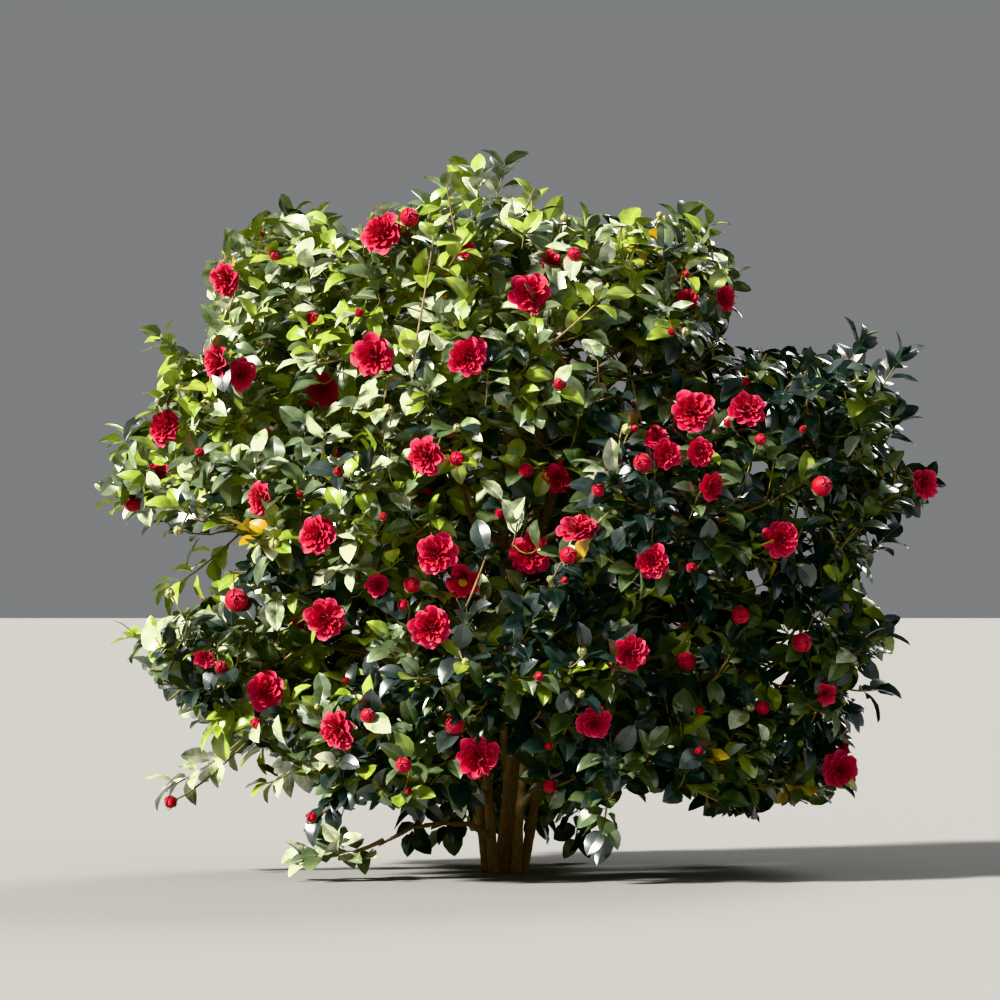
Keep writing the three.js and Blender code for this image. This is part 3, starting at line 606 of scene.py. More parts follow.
def grow_side_twigs(bearer, spray):
    """Side twigs in turn round a twig, each tending upwards and away from the crown's middle."""
    twigs = []
    count = round(bearer.length / SIDE_TWIG["spacing"])
    phase = rng.uniform(0, 2 * math.pi)
    for i in range(count):
        step = i + rng.uniform(*SIDE_TWIG["jitter"])
        distance = bearer.length * (SIDE_TWIG["first"] + SIDE_TWIG["stretch"] * step / count)
        root = bearer.point_at(distance)
        along = bearer.heading_at(distance)
        side = unit(np.cross(along, UP))
        over = np.cross(side, along)
        turn = phase + i * GOLDEN_TURN
        angle = math.radians(SIDE_TWIG["angle"] * rng.uniform(*SIDE_TWIG["angles"]))
        upward = math.sin(turn) * SIDE_TWIG["flatness"] + SIDE_TWIG["raised"]
        radial = side * math.cos(turn) + over * upward
        climb = CLIMB["least"] + CLIMB["more"] * np.clip((root[2] - CLIMB["from"]) / CLIMB["over"], 0, 1)
        direction = unit(along * math.cos(angle) + unit(radial) * math.sin(angle) + UP * climb)
        wanted = SIDE_TWIG["length"] * rng.uniform(*SIDE_TWIG["lengths"])
        room = spray.free_run(root, direction) - LEAF_LENGTH * SIDE_TWIG["leaf_room"]
        length = min(wanted, room)
        line = trimmed(rising_line(root, direction, length, SIDE_TWIG))
        if length > SIDE_TWIG["shortest"] and len(line) > 2 and not in_gap(seen_at(line[-1])):
            twigs.append(Shoot(line, SIDE_TWIG, spray, i))
    return twigs


def all_wood():
    """Every shoot of the sprays, the points along them all, and which shoot each point is on."""
    bearers = [shoot for shoots in shoots_by_spray for shoot in shoots]
    points = np.concatenate([shoot.line for shoot in bearers])
    owners = np.repeat(np.arange(len(bearers)), [len(shoot.line) for shoot in bearers])
    return bearers, points, owners


def grow_stray(foot, tip):
    """A shoot from the twig that is seen nearest to its foot, its last leaf ending at its tip."""
    bearers, points, owners = all_wood()
    nearest = np.argmin(np.linalg.norm(seen_at(points) - foot, axis=1))
    root = points[nearest]
    end = brought_back(tip, root[1])
    heading = unit(end - root)
    length = max(np.linalg.norm(end - root) - STRAY["last_leaf"], STRAY["shortest"])
    line = rising_line(root, heading, length, STRAY)
    return Shoot(line, STRAY, bearers[owners[nearest]].spray, int(nearest))


def grow_showing_stem(foot, tip):
    """A stem from the foremost wood that is seen near its foot, running on in front of the leaves."""
    bearers, points, owners = all_wood()
    off = np.linalg.norm(seen_at(points) - foot, axis=1)
    near = np.flatnonzero(off <= max(SHOWING_STEM["within"], off.min()))
    nearest = near[np.argmin(points[near, 1])]
    root = points[nearest]
    way = brought_back(tip, root[1] - SHOWING_STEM["nearer"]) - root
    line = rising_line(root, unit(way), np.linalg.norm(way), SHOWING_STEM)
    return Shoot(line, SHOWING_STEM, bearers[owners[nearest]].spray, int(nearest))


def grow_unseen_strays():
    """Shoots that run on outwards and upwards from the furthest tips of the back and the sides."""
    tips = [
        shoot for shoots in shoots_by_spray[:-1] for shoot in shoots
        if shoot.line[-1][1] > UNSEEN_STRAYS["behind"] and shoot.how_far_out() > UNSEEN_STRAYS["far_out"]
    ]
    scatter = UNSEEN_STRAYS["scatter"]
    grown = []
    for pick in rng.permutation(len(tips)):
        root = tips[pick].line[-1]
        outward = unit((root - CROWN_HEART) * UNSEEN_STRAYS["level"])
        heading = unit(outward + UP * UNSEEN_STRAYS["climb"] + rng.uniform(-scatter, scatter, 3))
        line = rising_line(root, heading, rng.uniform(*UNSEEN_STRAYS["length"]), STRAY)
        tip = line[-1] + heading * LEAF_LENGTH
        fits = tip[1] < UNSEEN_STRAYS["furthest_back"] and within_edge(seen_at(tip))
        if fits and len(grown) < UNSEEN_STRAYS["count"]:
            grown.append(Shoot(line, STRAY, tips[pick].spray, int(pick)))
    return grown


def surface_reach(azimuth, height):
    """How far out the shoots' tips are, between those of the tiers above and below."""
    heights = [height_at(tier["height"], azimuth) for tier in TIERS]
    return np.interp(height, heights, [reach_at(tier["reach"], azimuth) for tier in TIERS])


def grow_into_window(azimuth, height, share, wood):
    """A twig and its side twigs in the window at a place a share of the way out, if there is one."""
    tip = direction_of(azimuth, 0) * surface_reach(azimuth, height)
    tip[2] = height
    while not within_edge(seen_at(tip * (share, share, 1))) and share > WINDOW["narrowest"]:
        share -= WINDOW["narrowing"]
    middle = tip * (share, share, 1)
    off = np.linalg.norm(wood - middle, axis=1)
    if off.min() < WINDOW["apart"] or in_gap(seen_at(middle)):
        return []
    out = share + WINDOW["tip_beyond"]
    tip = tip * (out, out, 1)
    patch = Spray(tip, azimuth, PATCH["rise"], PATCH["length"], PATCH["room"], PATCH["floor"])
    root = wood[np.argmin(np.linalg.norm(wood - (patch.entry + middle) / 2, axis=1))]
    way = middle - root
    line = trimmed(rising_line(root, unit(way), np.linalg.norm(way), TWIG))
    if len(line) < 3:
        return []
    twig = Shoot(line, TWIG, patch, round(azimuth))
    return [twig, *grow_side_twigs(twig, patch)]


def close_windows():
    wood = np.concatenate([shoot.line for shoots in shoots_by_spray for shoot in shoots])
    grown = []
    heights = np.arange(WINDOW["lowest"], WINDOW["highest"], WINDOW["step"])
    azimuths = np.arange(0, 360, WINDOW["turn"])
    for share, height, azimuth in itertools.product(WINDOW["insets"], heights, azimuths):
        shoots = grow_into_window(azimuth, height, share, wood)
        wood = np.concatenate([wood, *(shoot.line for shoot in shoots)])
        grown += shoots
    return grown


# A line that starts more steeply than this has its first ring turned by the rightward direction.
NEARLY_UPRIGHT = 0.9


def tube_points(line, radii, sides):
    """Rings of points round a line, one after the other."""
    tangents = unit(np.gradient(line, axis=0))
    helper = UP if abs(tangents[0][2]) < NEARLY_UPRIGHT else RIGHTWARD
    normal = unit(np.cross(tangents[0], helper))
    angles = np.arange(sides) * 2 * math.pi / sides
    rings = []
    for middle, tangent, radius in zip(line, tangents, radii):
        normal = unit(normal - tangent * (normal @ tangent))
        binormal = np.cross(tangent, normal)
        circle = np.cos(angles)[:, None] * normal + np.sin(angles)[:, None] * binormal
        rings.append(middle + radius * circle)
    return np.concatenate(rings)


def tube_faces(rings, sides):
    """The triangles of a closed tube with the given number of rings."""
    faces = []
    for ring in range(rings - 1):
        for k in range(sides):
            a, b = ring * sides + k, ring * sides + (k + 1) % sides
            faces += [(a, b, b + sides), (a, b + sides, a + sides)]
    last = (rings - 1) * sides
    for k in range(1, sides - 1):
        faces += [(0, k + 1, k), (last, last + k, last + k + 1)]
    return np.array(faces)


def mesh_from(name, points, faces):
    """A mesh of triangles."""
    mesh = bpy.data.meshes.new(name)
    mesh.vertices.add(len(points))
    mesh.vertices.foreach_set("co", np.asarray(points, np.float32).ravel())
    mesh.loops.add(faces.size)
    mesh.loops.foreach_set("vertex_index", faces.astype(np.int32).ravel())
    mesh.polygons.add(len(faces))
    mesh.polygons.foreach_set("loop_start", np.arange(0, faces.size, 3, dtype=np.int32))
    mesh.update(calc_edges=True)
    return mesh


def twig_mesh(name, shoots, sides):
    """Tubes round all the shoots, swollen a little at the nodes, each ending in a pointed bud."""
    points, faces, used = [], [], 0
    for shoot in shoots:
        heading = shoot.heading_at(shoot.length)
        tip = shoot.line[-1]
        bud = [tip + heading * SHOOT_BUD["length"] * share for share in (SHOOT_BUD["widest"], 1)]
        line = np.array([*shoot.line, *bud])
        waves = np.sin(np.arange(len(shoot.radii)) * NODE_TURN + shoot.number)
        swollen = shoot.radii * (1 + NODE_SWELLING * waves)
        radii = [*swollen, SHOOT_BUD["radius"], SHOOT_BUD["radius"] * SHOOT_BUD["tip_share"]]
        ring_points = tube_points(line, radii, sides)
        points.append(ring_points)
        faces.append(tube_faces(len(line), sides) + used)
        used += len(ring_points)
    return mesh_from(name, np.concatenate(points), np.concatenate(faces))


sprays = lay_out_sprays()
shoots_by_spray = [grow_spray(spray, number) for number, spray in enumerate(sprays)]
strays = [grow_stray(np.array(foot), tip) for foot, tip in STRAY_SHOOTS]
strays += grow_unseen_strays()
showing_stems = [grow_showing_stem(np.array(foot), tip) for foot, tip in SHOWING_STEMS]
window_shoots = close_windows()
bearing = [shoot for shoots in shoots_by_spray for shoot in shoots] + window_shoots
woody = [shoot for shoot in bearing if shoot.radii[0] > SIDE_TWIG["radius"]]
green = [shoot for shoot in bearing if shoot.radii[0] <= SIDE_TWIG["radius"]]
young_bark = bark_finish("young_bark", colour(104, 82, 58), colour(186, 164, 130), colour(122, 124, 74))
woody_mesh = twig_mesh("twigs", woody + showing_stems, TWIG["sides"])
shown_mesh("leaders_and_twigs", woody_mesh, young_bark, MASSES)


# Flower stalks and side twigs
# Each flower, half-open flower and larger bud sits on a short green stalk from the nearest twig of its
# spray. Those on the unseen side sit near the ends of twigs. The stalks are one piece with the side
# twigs, which are as green.
STALK = {"radius": 0.0026, "tip_radius": 0.0022, "steps": 4, "shortest": 0.02, "straight": 0.45}
STALK_ROOTS = np.linspace(0.1, 0.95, 12)

# The depths at which a line of sight is looked along.
SIGHT_DEPTHS = np.arange(-1.3, 0.9, 0.008)

# How far into the crown a flower and a bud sit, how much further one sits that leaves cover, and how
# far one in full light may sit behind the foremost of the crown within a hand's breadth.
FLOWER_INSET = 0.035
BUD_INSET = 0.012
HIDDEN_INSET = 0.06
LIT_INSET = 0.1
HAND_BREADTH = 0.05

# How far a flower's back is behind its middle, as a share of its width, the room that leaves give it,
# and how far those turn and nod that have no way to face of their own.
BACK_OF_MIDDLE = 0.14
CLEARANCE = 0.004
TURNS, NODS = (-0.6, 0.6), (-0.2, 0.5)

# The unseen flowers: how many a spray tries to bear and how wide, how far apart, and how far back and
# far out in the spray's room. They keep a margin to the crown's edge and don't hang under it.
UNSEEN = {
    "tries": 5, "widths": (0.05, 0.078, 0.1, 0.107, 0.112), "spacing": 0.13, "behind": 0.05,
    "far_out": 0.7, "lift": 0.2, "scatter": 0.3, "beyond_twig": 0.03,
}
EDGE_MARGIN = np.array([1.07, 1, 1.06])
HANGING_ROOM = np.array([0, 0.08])

# Each flower that faces the seen side: where its middle is seen in the plane of the trunk, across and
# up, its width, how far it turns to the right and up, and the share of it that no leaf covers.
SEEN_FLOWERS = (
    (-0.759, 1.601, 0.097, -0.9, -0.3, 0.9), (-0.786, 1.385, 0.092, -1.5, 0.1, 0.7),
    (-0.716, 1.347, 0.085, 0.3, 0, 0.5), (-0.495, 1.301, 0.097, 0.1, -0.6, 0.9),
    (-0.355, 1.393, 0.11, -0.1, -0.15, 1), (-0.923, 1.204, 0.095, -0.5, 0.2, 0.8),
    (-0.94, 1.08, 0.077, -0.4, 1.0, 0.5), (-0.335, 1.731, 0.113, -0.4, 0.3, 0.9),
    (0.068, 1.566, 0.105, 0.15, 0.15, 1), (-0.1, 1.391, 0.105, 0.1, -0.1, 1),
    (-0.219, 1.123, 0.1, -0.65, -0.1, 1), (0.594, 1.55, 0.08, 1.3, 0.2, 1),
    (0.508, 1.245, 0.11, 0, 0.1, 1), (0.656, 1.253, 0.097, 0.3, 0.5, 1),
    (0.41, 1.175, 0.067, 0.2, 0.2, 0.7), (0.437, 1.129, 0.082, 0.2, -0.1, 0.6),
    (0.529, 1.137, 0.077, 0.4, 0, 0.6), (0.562, 1.04, 0.08, 1.0, -0.3, 0.7),
    (1.139, 1.05, 0.087, 0.8, -0.2, 0.5), (0.748, 0.899, 0.095, 0, -0.1, 0.9),
    (0.398, 0.84, 0.09, 0, -0.2, 0.8), (-0.664, 1.007, 0.092, -1.3, 0.1, 1),
    (-0.51, 0.91, 0.1, -0.5, 0.1, 1), (-0.186, 0.859, 0.108, -0.1, 0, 1),
    (-0.483, 0.683, 0.108, 0, -0.15, 1), (-0.201, 0.662, 0.108, 0, -0.15, 1),
    (-0.647, 0.489, 0.105, -0.1, 0.05, 1), (-0.456, 0.381, 0.105, -0.85, -0.35, 1),
    (-0.072, 0.308, 0.11, 0.1, -0.35, 1), (0.146, 1.064, 0.087, 0.3, -0.2, 0.6),
    (0.068, 0.86, 0.11, -0.1, 0.1, 1), (0.198, 0.931, 0.103, 0.1, 1.1, 0.8),
    (0.34, 0.594, 0.09, 0.3, 0, 0.9), (0.242, 0.402, 0.09, 0.1, -0.1, 0.9),
    (0.907, 0.274, 0.097, 0.1, -0.1, 0.9), (0.497, 1.555, 0.062, -0.3, -0.6, 0.8),
    (0.122, 1.652, 0.062, 0.2, 0.3, 0.4), (-0.346, 0.775, 0.069, -0.2, 0.2, 0.5),
    (0.869, 0.481, 0.062, 0.4, -0.2, 0.8), (-0.813, 0.578, 0.062, -0.2, -0.8, 0.5),
    (-0.111, 1.688, 0.056, 0.1, 0.2, 0.4),
)
SEEN_OPEN_FLOWERS = (
    (-0.112, 0.788, 0.105, -0.2, -0.7, 1),
)

# The half-open flowers and the buds: where each is seen in the plane of the trunk, and its width.
SEEN_BALLS = (
    (-0.259, 1.766, 0.051), (-0.999, 0.996, 0.046), (0.049, 1.085, 0.038), (0.378, 1.104, 0.049),
    (0.257, 1.031, 0.033), (0.845, 1.04, 0.054), (-0.726, 0.73, 0.062), (-0.257, 0.77, 0.041),
    (-0.011, 0.969, 0.036), (0.635, 0.697, 0.046), (0.497, 0.567, 0.049), (0.794, 0.618, 0.051),
    (-0.128, 0.392, 0.049), (-0.271, 0.289, 0.041), (-0.378, 0.421, 0.038), (0.116, 0.227, 0.036),
    (0.702, 0.44, 0.036), (-0.13, 1.118, 0.041), (0.167, 0.853, 0.046), (0.184, 1.671, 0.036),
    (0.508, 0.819, 0.028), (0.689, 1.169, 0.031), (-0.521, 1.49, 0.036),
)
SEEN_RED_BUDS = (
    (-0.826, 1.131, 0.028), (-0.389, 1.507, 0.026), (0.656, 1.323, 0.026), (0.602, 1.21, 0.026),
    (0.346, 1.197, 0.023), (0.807, 1.193, 0.023), (0.454, 1.457, 0.023), (-0.27, 0.724, 0.031),
    (-0.767, 0.551, 0.036), (-0.67, 0.402, 0.031), (-0.454, 1.08, 0.026), (-0.327, 0.961, 0.023),
    (0.143, 1.312, 0.033), (0.088, 0.529, 0.026), (0.122, 0.34, 0.023), (0.529, 0.433, 0.023),
    (0.527, 0.327, 0.023), (-0.896, 0.192, 0.036), (-0.518, 0.149, 0.031), (0.159, 0.786, 0.021),
    (0.486, 1.615, 0.021), (-0.621, 1.661, 0.031),
)
SEEN_GREEN_BUDS = (
    (-0.807, 1.261, 0.031), (-0.88, 1.31, 0.026), (-0.321, 1.25, 0.028), (0.489, 1.459, 0.023),
    (0.324, 1.197, 0.028), (0.211, 0.594, 0.026), (0.659, 0.443, 0.023), (0.778, 0.405, 0.018),
    (0.697, 0.343, 0.018), (0.797, 0.348, 0.018), (0.127, 0.788, 0.021), (0.2, 0.481, 0.023),
    (-0.108, 0.567, 0.021), (-0.127, 1.199, 0.023), (-0.905, 0.753, 0.026), (-0.883, 0.921, 0.026),
    (-0.621, 0.888, 0.031),
)


class Seat:
    """Where a flower or bud sits: the middle of its back, the way it faces, and its width."""

    def __init__(self, place, facing, width, bared, seen):
        self.place = place
        self.facing = facing
        self.width = width
        self.clearance = width / 2 * bared + CLEARANCE
        self.seen = seen
        self.lit = seen and bared == 1


def place_in_sight(across, height, inset):
    """The first point inside a spray on the line of sight to a place seen in the trunk's plane."""
    points = np.array([brought_back((across, height), depth) for depth in SIGHT_DEPTHS])
    inside = np.array([spray.holds(points) for spray in sprays])
    if inside.any():
        first = np.argmax(inside.any(axis=0))
        number = int(np.argmax(inside[:, first]))
        return points[first] + np.array([0, inset, 0]), number
    distances = np.array([np.linalg.norm(spray.in_room(points), axis=-1) for spray in sprays])
    number, first = np.unravel_index(np.argmin(distances), distances.shape)
    return points[first], int(number)


def surface_around(across, height):
    """How near the crown comes within a hand's breadth of the line of sight to a place."""
    offsets = [(x * HAND_BREADTH, z * HAND_BREADTH) for x in (-1, 1) for z in (-1, 1)]
    return min(place_in_sight(across + x, height + z, 0)[0][1] for x, z in offsets)


def stalk_to(seat, number):
    """A stalk from the nearest twig of the spray to the back of a flower or bud."""
    shoots = shoots_by_spray[number]
    candidates = np.concatenate([
        [shoot.point_at(share * shoot.length) for share in STALK_ROOTS] for shoot in shoots
    ])
    distances = np.linalg.norm(candidates - seat.place, axis=1)
    distances[distances < STALK["shortest"]] = np.inf
    root = candidates[np.argmin(distances)]
    length = np.linalg.norm(seat.place - root)
    bend = seat.place - seat.facing * length * STALK["straight"]
    return Shoot(bent_line(root, bend, seat.place, STALK["steps"]), STALK, sprays[number], number)


def seat_seen(rows, inset, stalks):
    """Seats for what is seen from the front. A row that says no more than the width faces at random."""
    seats = []
    for across, height, width, *way in rows:
        turn, nod, bared = way or (rng.uniform(*TURNS), rng.uniform(*NODS), 1)
        middle, number = place_in_sight(across, height, inset + (1 - bared) * HIDDEN_INSET)
        if bared == 1:
            depth = min(middle[1], surface_around(across, height) + LIT_INSET)
            middle = brought_back((across, height), depth)
        facing = unit(np.array([turn, -1, nod]))
        seat = Seat(middle - facing * width * BACK_OF_MIDDLE, facing, width, bared, True)
        stalks.append(stalk_to(seat, number))
        seats.append(seat)
    return seats


def seat_unseen(number, stalks):
    """Seats near the ends of a spray's twigs, on the side that isn't seen."""
    tips = [
        shoot for shoot in shoots_by_spray[number][1:]
        if shoot.line[-1][1] > UNSEEN["behind"] and shoot.how_far_out() > UNSEEN["far_out"]
    ]
    scatter = UNSEEN["scatter"]
    seats = []
    for _ in range(UNSEEN["tries"] if tips else 0):
        shoot = tips[rng.integers(len(tips))]
        outward = unit(shoot.line[-1] - CROWN_HEART)
        facing = unit(outward + UP * UNSEEN["lift"] + rng.uniform(-scatter, scatter, 3))
        width = UNSEEN["widths"][rng.integers(len(UNSEEN["widths"]))]
        seat = Seat(shoot.line[-1] + outward * UNSEEN["beyond_twig"], facing, width, 1, False)
        apart = all(np.linalg.norm(seat.place - other.place) > UNSEEN["spacing"] for other in seats)
        seen_place = seen_at(seat.place * EDGE_MARGIN)
        if apart and within_edge(seen_place) and within_edge(seen_place - HANGING_ROOM):
            stalks.append(stalk_to(seat, number))
            seats.append(seat)
    return seats


stalks = []
flower_seats = seat_seen(SEEN_FLOWERS, FLOWER_INSET, stalks)
open_seats = seat_seen(SEEN_OPEN_FLOWERS, FLOWER_INSET, stalks)
ball_seats = seat_seen(SEEN_BALLS, FLOWER_INSET, stalks)
red_bud_seats = seat_seen(SEEN_RED_BUDS, BUD_INSET, stalks)
green_bud_seats = seat_seen(SEEN_GREEN_BUDS, BUD_INSET, stalks)
for spray_number in range(len(sprays) - 1):
    for seat in seat_unseen(spray_number, stalks):
        (ball_seats if seat.width == UNSEEN["widths"][0] else flower_seats).append(seat)

green_bark = bark_finish("green_bark", colour(98, 88, 48), colour(170, 156, 104), colour(112, 128, 58))
green_mesh = twig_mesh("side_twigs", green + strays + stalks, SIDE_TWIG["sides"])
shown_mesh("side_twigs", green_mesh, green_bark, MASSES)


# Leaves
# Thick, glossy, evergreen leaves on short stalks, in turn round each shoot and close together at its
# end: folded along the midrib, arched, and paler along the veins. Young and ageing ones are lighter.
# Their tints also carry painted light: painted glints and painted backlight where the sun falls, and
# painted shade on the right and low down.
# How a leaf is shaped, and how leaves are set on a shoot. Width and ripple are shares of the leaf's
# length. The arch, the rise at its foot and the ripples along it are in radians, and other angles in
# degrees. Leaves open towards the shoot's foot, and face upwards, outwards and a little askew. A shoot
# whose level part is less than the last value counts as upright.
LEAF = {
    "width": 0.6, "widths": (0.88, 1.12), "sizes": (0.84, 1.2), "fold": (8, 34), "arch": (0.4, 1.25),
    "rise": 0.3, "edge_curl": 0.3, "ripple": 0.0225, "ripples": 11, "ripple_slant": 2, "angle": 60,
    "end_angle": 32, "angles": (0.8, 1.2), "opening": 2.5, "droop": 0.12, "spacing": 0.022,
    "leafy_length": 0.2, "stray_length": 0.34, "stray_spacing": 0.0145, "stem_leafy_length": 0.05,
    "leafy_share": 0.9, "fewest": 3, "fullness": 0.75, "crowding": 1.25, "flatness": 0.35,
    "upward": (0.5, 1.2), "outward": (0.3, 1.1), "askew": 0.35, "turned": 0.15, "level": (1, 1, 0.3),
}
LEAST_LEVEL_PART = 0.05

# The outline from stalk to tip, as shares of the length and the half width, and the columns of points
# across the blade. Leaves further back than the last value are plainer.
LEAF_OUTLINE = ((0.1, 0.05), (0.22, 0.66), (0.45, 1.0), (0.68, 0.88), (0.88, 0.46))
LEAF_COLUMNS = np.array([-1, -0.5, 0, 0.5, 1])
PLAIN_LEAF_COLUMNS = np.array([-1, 0, 1])
PLAIN_BEHIND = 0.05

# Which leaves there is room for: the share that is left in a gap, how far to the front and how low a
# tip may come, and where along a leaf its middle and its seen end are taken to be. No point of a
# blade lies lower than the last.
LEAVES_LEFT_IN_GAPS = 0.22
FRONT_OF_CROWN = -1.045
LOWEST_TIP = 0.012
LEAF_MIDDLE, LEAF_END = 0.55, 0.85
LEAST_HEIGHT = 0.001

# A leaf hides a flower from this far behind its back to this far before it, and hides less than the
# flower's width where it is only on the way to the eye or the light.
CLOSE_BEHIND, CLOSE_BEFORE = -0.012, 0.1
SIGHT_SHARE = 0.85

# Leaves also close the looks through the crown. It is looked through in small cells, and one that no
# leaf covers, with covered ones near on all four sides, is a hole. A leaf grows over it from wood
# that is seen close by, off by so much as to bring the leaf's middle over the hole. A leaf covers the
# cells at these shares of its length and half width.
CELL = 0.008
BLADE_LENGTHWISE = np.linspace(0.1, 0.95, 11)
BLADE_CROSSWISE = np.linspace(-0.8, 0.8, 7)
CELLS_EACH_WAY = 520
HOLE_REACH = 16
LEAF_CELLS = 2
LEAST_OFF, MOST_OFF = 0.02, 0.06
FILLING_UPWARD, FILLING_ASKEW = (0.2, 0.8), 0.3
FILLING_SHARES = (0.5, 0.4, 0.1, 0.0, 0.0)

# The way to the key light, and how far along it the flowers in full light are free of leaves.
SUNWARD = unit(np.array([-0.78, -0.52, 0.55]))
SUNLIT_RUN = 0.2

# The leaves' tints, and how the parts of the crown share them out: its left, right and top, the
# shoots that stand out of it on the left, low down or hanging, and where leaves have turned yellow.
# The shares paint light and shade: the sunlit left, top and standing-out shoots get more young tint
# as painted backlight and grey tint as painted glint. The right and the hanging shoots get more deep
# tint as painted shade, and the low shoots mostly get the grey tint with painted glints.
TINTS = ("deep", "middling", "young", "grey_painted_glint", "yellowed")
SUNLIT_LEFT_SHARES = np.array([0.14, 0.31, 0.255, 0.29, 0.005])
SHADED_RIGHT_SHARES = np.array([0.6, 0.31, 0.06, 0.025, 0.005])
SUNLIT_TOP_SHARES = np.array([0.07, 0.245, 0.3, 0.38, 0.005])
SUNLIT_STANDING_OUT_SHARES = np.array([0.03, 0.2, 0.55, 0.22, 0.0])
YELLOWED_SHARES = np.array([0.0, 0.1, 0.1, 0.1, 0.7])
PAINTED_GLINT_LOW_SHOOT_SHARES = np.array([0.0, 0.35, 0.05, 0.6, 0.0])
SHADED_HANGING_SHARES = np.array([0.75, 0.25, 0.0, 0.0, 0.0])

# Some leaves of a shoot have another tint than the rest. From left to right, and from low to high,
# the crown's painted shade changes so much as to change from the sunlit left's shares to the shaded
# right's. It is heaviest on the right and low down.
ODD_LEAVES = 0.3
SHADE_MIDDLE, SHADE_WIDTH = 0.1, 0.8
SHADE_HEIGHTS, SHADES = (0.3, 1.3, 1.7), (0.55, 0.05, -0.5)
TOP_HEIGHTS = (1.2, 1.55)
STANDING_OUT_LEFT_OF, STANDING_OUT_ABOVE = -0.45, 1.6
LOW_LEFT_OF, LOW_BELOW = -0.63, 0.26
YELLOWING = np.array([(-0.672, 0.9), (-0.49, 0.86)])
YELLOWING_REACH = 0.045


def leaf_template(columns):
    """The outline's points as shares of length and half width, and its triangles."""
    rows = [(0.0, 0.0, 0.0)]
    for along, width in LEAF_OUTLINE:
        rows += [(along, column, width) for column in columns]
    rows.append((1.0, 0.0, 0.0))
    across = len(columns)
    faces = [(0, k + 1, k + 2) for k in range(across - 1)]
    for row in range(len(LEAF_OUTLINE) - 1):
        for k in range(across - 1):
            a = 1 + row * across + k
            faces += [(a, a + across, a + across + 1), (a, a + across + 1, a + 1)]
    last = 1 + (len(LEAF_OUTLINE) - 1) * across
    faces += [(last + k, last + across, last + k + 1) for k in range(across - 1)]
    return np.array(rows), np.array(faces)


def leaf_places(shoot):
    """Root, heading and face of each leaf on a shoot, the closest together at its end."""
    longest = LEAF["stray_length"] if shoot.stray else LEAF["leafy_length"]
    if shoot in showing_stems:
        longest = LEAF["stem_leafy_length"]
    leafy = min(longest, shoot.length * LEAF["leafy_share"])
    spacing = LEAF["stray_spacing"] if shoot.stray else LEAF["spacing"]
    count = LEAF["fewest"] + round(leafy / spacing * LEAF["fullness"])
    phase = rng.uniform(0, 2 * math.pi)
    places = []
    for i in range(count):
        share = (i / count) ** LEAF["crowding"]
        distance = shoot.length - leafy * share
        root = shoot.point_at(distance)
        along = shoot.heading_at(distance)
        side = np.cross(along, UP)
        side = unit(side) if np.linalg.norm(side) > LEAST_LEVEL_PART else RIGHTWARD
        over = np.cross(side, along)
        steepness = abs(along[2])
        turn = phase + i * GOLDEN_TURN
        opened = min(1, share * LEAF["opening"])
        angle = math.radians(LEAF["end_angle"] + (LEAF["angle"] - LEAF["end_angle"]) * opened)
        angle *= rng.uniform(*LEAF["angles"])
        flattened = LEAF["flatness"] + (1 - LEAF["flatness"]) * steepness
        radial = unit(side * math.cos(turn) + over * math.sin(turn) * flattened)
        heading = unit(along * math.cos(angle) + radial * math.sin(angle) - UP * LEAF["droop"])
        outward = unit((root - CROWN_HEART) * LEAF["level"])
        face = UP * rng.uniform(*LEAF["upward"]) + outward * rng.uniform(*LEAF["outward"])
        face += rng.uniform(-LEAF["askew"], LEAF["askew"], 3) + radial * LEAF["turned"]
        places.append((root, heading, face))
    return places


def hides(middles, seats):
    """Whether each place is close before a flower, or between one and the eye or the light."""
    hidden = np.zeros(len(middles), bool)
    for seat in seats:
        offset = middles - seat.place
        ahead = offset @ seat.facing
        aside = np.linalg.norm(offset - ahead[:, None] * seat.facing, axis=1)
        hidden |= (ahead > CLOSE_BEHIND) & (ahead < CLOSE_BEFORE) & (aside < seat.clearance)
        ways = [(unit(EYE - seat.place), np.inf)] if seat.seen else []
        ways += [(SUNWARD, SUNLIT_RUN)] if seat.lit else []
        for way, run in ways:
            nearer = offset @ way
            aside = np.linalg.norm(offset - nearer[:, None] * way, axis=1)
            hidden |= (nearer > 0) & (nearer < run) & (aside < seat.clearance * SIGHT_SHARE)
    return hidden


def leaf_points(roots, headings, faces, lengths, columns):
    """The points of every leaf, each bent, folded and rippled in its own way."""
    rows, _ = leaf_template(columns)
    u, v, half = rows[:, 0], rows[:, 1], rows[:, 2]
    count = len(roots)
    side = unit(np.cross(faces, headings))
    normal = np.cross(headings, side)
    arch = rng.uniform(*LEAF["arch"], (count, 1))
    fold = np.radians(rng.uniform(*LEAF["fold"], (count, 1)))
    phase = rng.uniform(0, 2 * math.pi, (count, 1))
    width = LEAF["width"] / 2 * rng.uniform(*LEAF["widths"], (count, 1))
    bend = arch * u - LEAF["rise"]
    forward = (np.sin(bend) + math.sin(LEAF["rise"])) / arch
    height = (np.cos(bend) - math.cos(LEAF["rise"])) / arch
    reach = width * half * v
    lift = np.sin(fold) * width * half * (np.abs(v) - LEAF["edge_curl"] * v**2)
    ripples = np.sin(LEAF["ripples"] * u + phase + LEAF["ripple_slant"] * v)
    lift += LEAF["ripple"] * ripples * v**2 * half
    parts = np.stack([forward, reach * np.cos(fold), height + lift], axis=-1) * lengths[:, None, None]
    axes = np.stack([headings, side, normal], axis=1)
    points = roots[:, None, :] + parts @ axes
    points[..., 2] = np.maximum(points[..., 2], LEAST_HEIGHT)
    return points


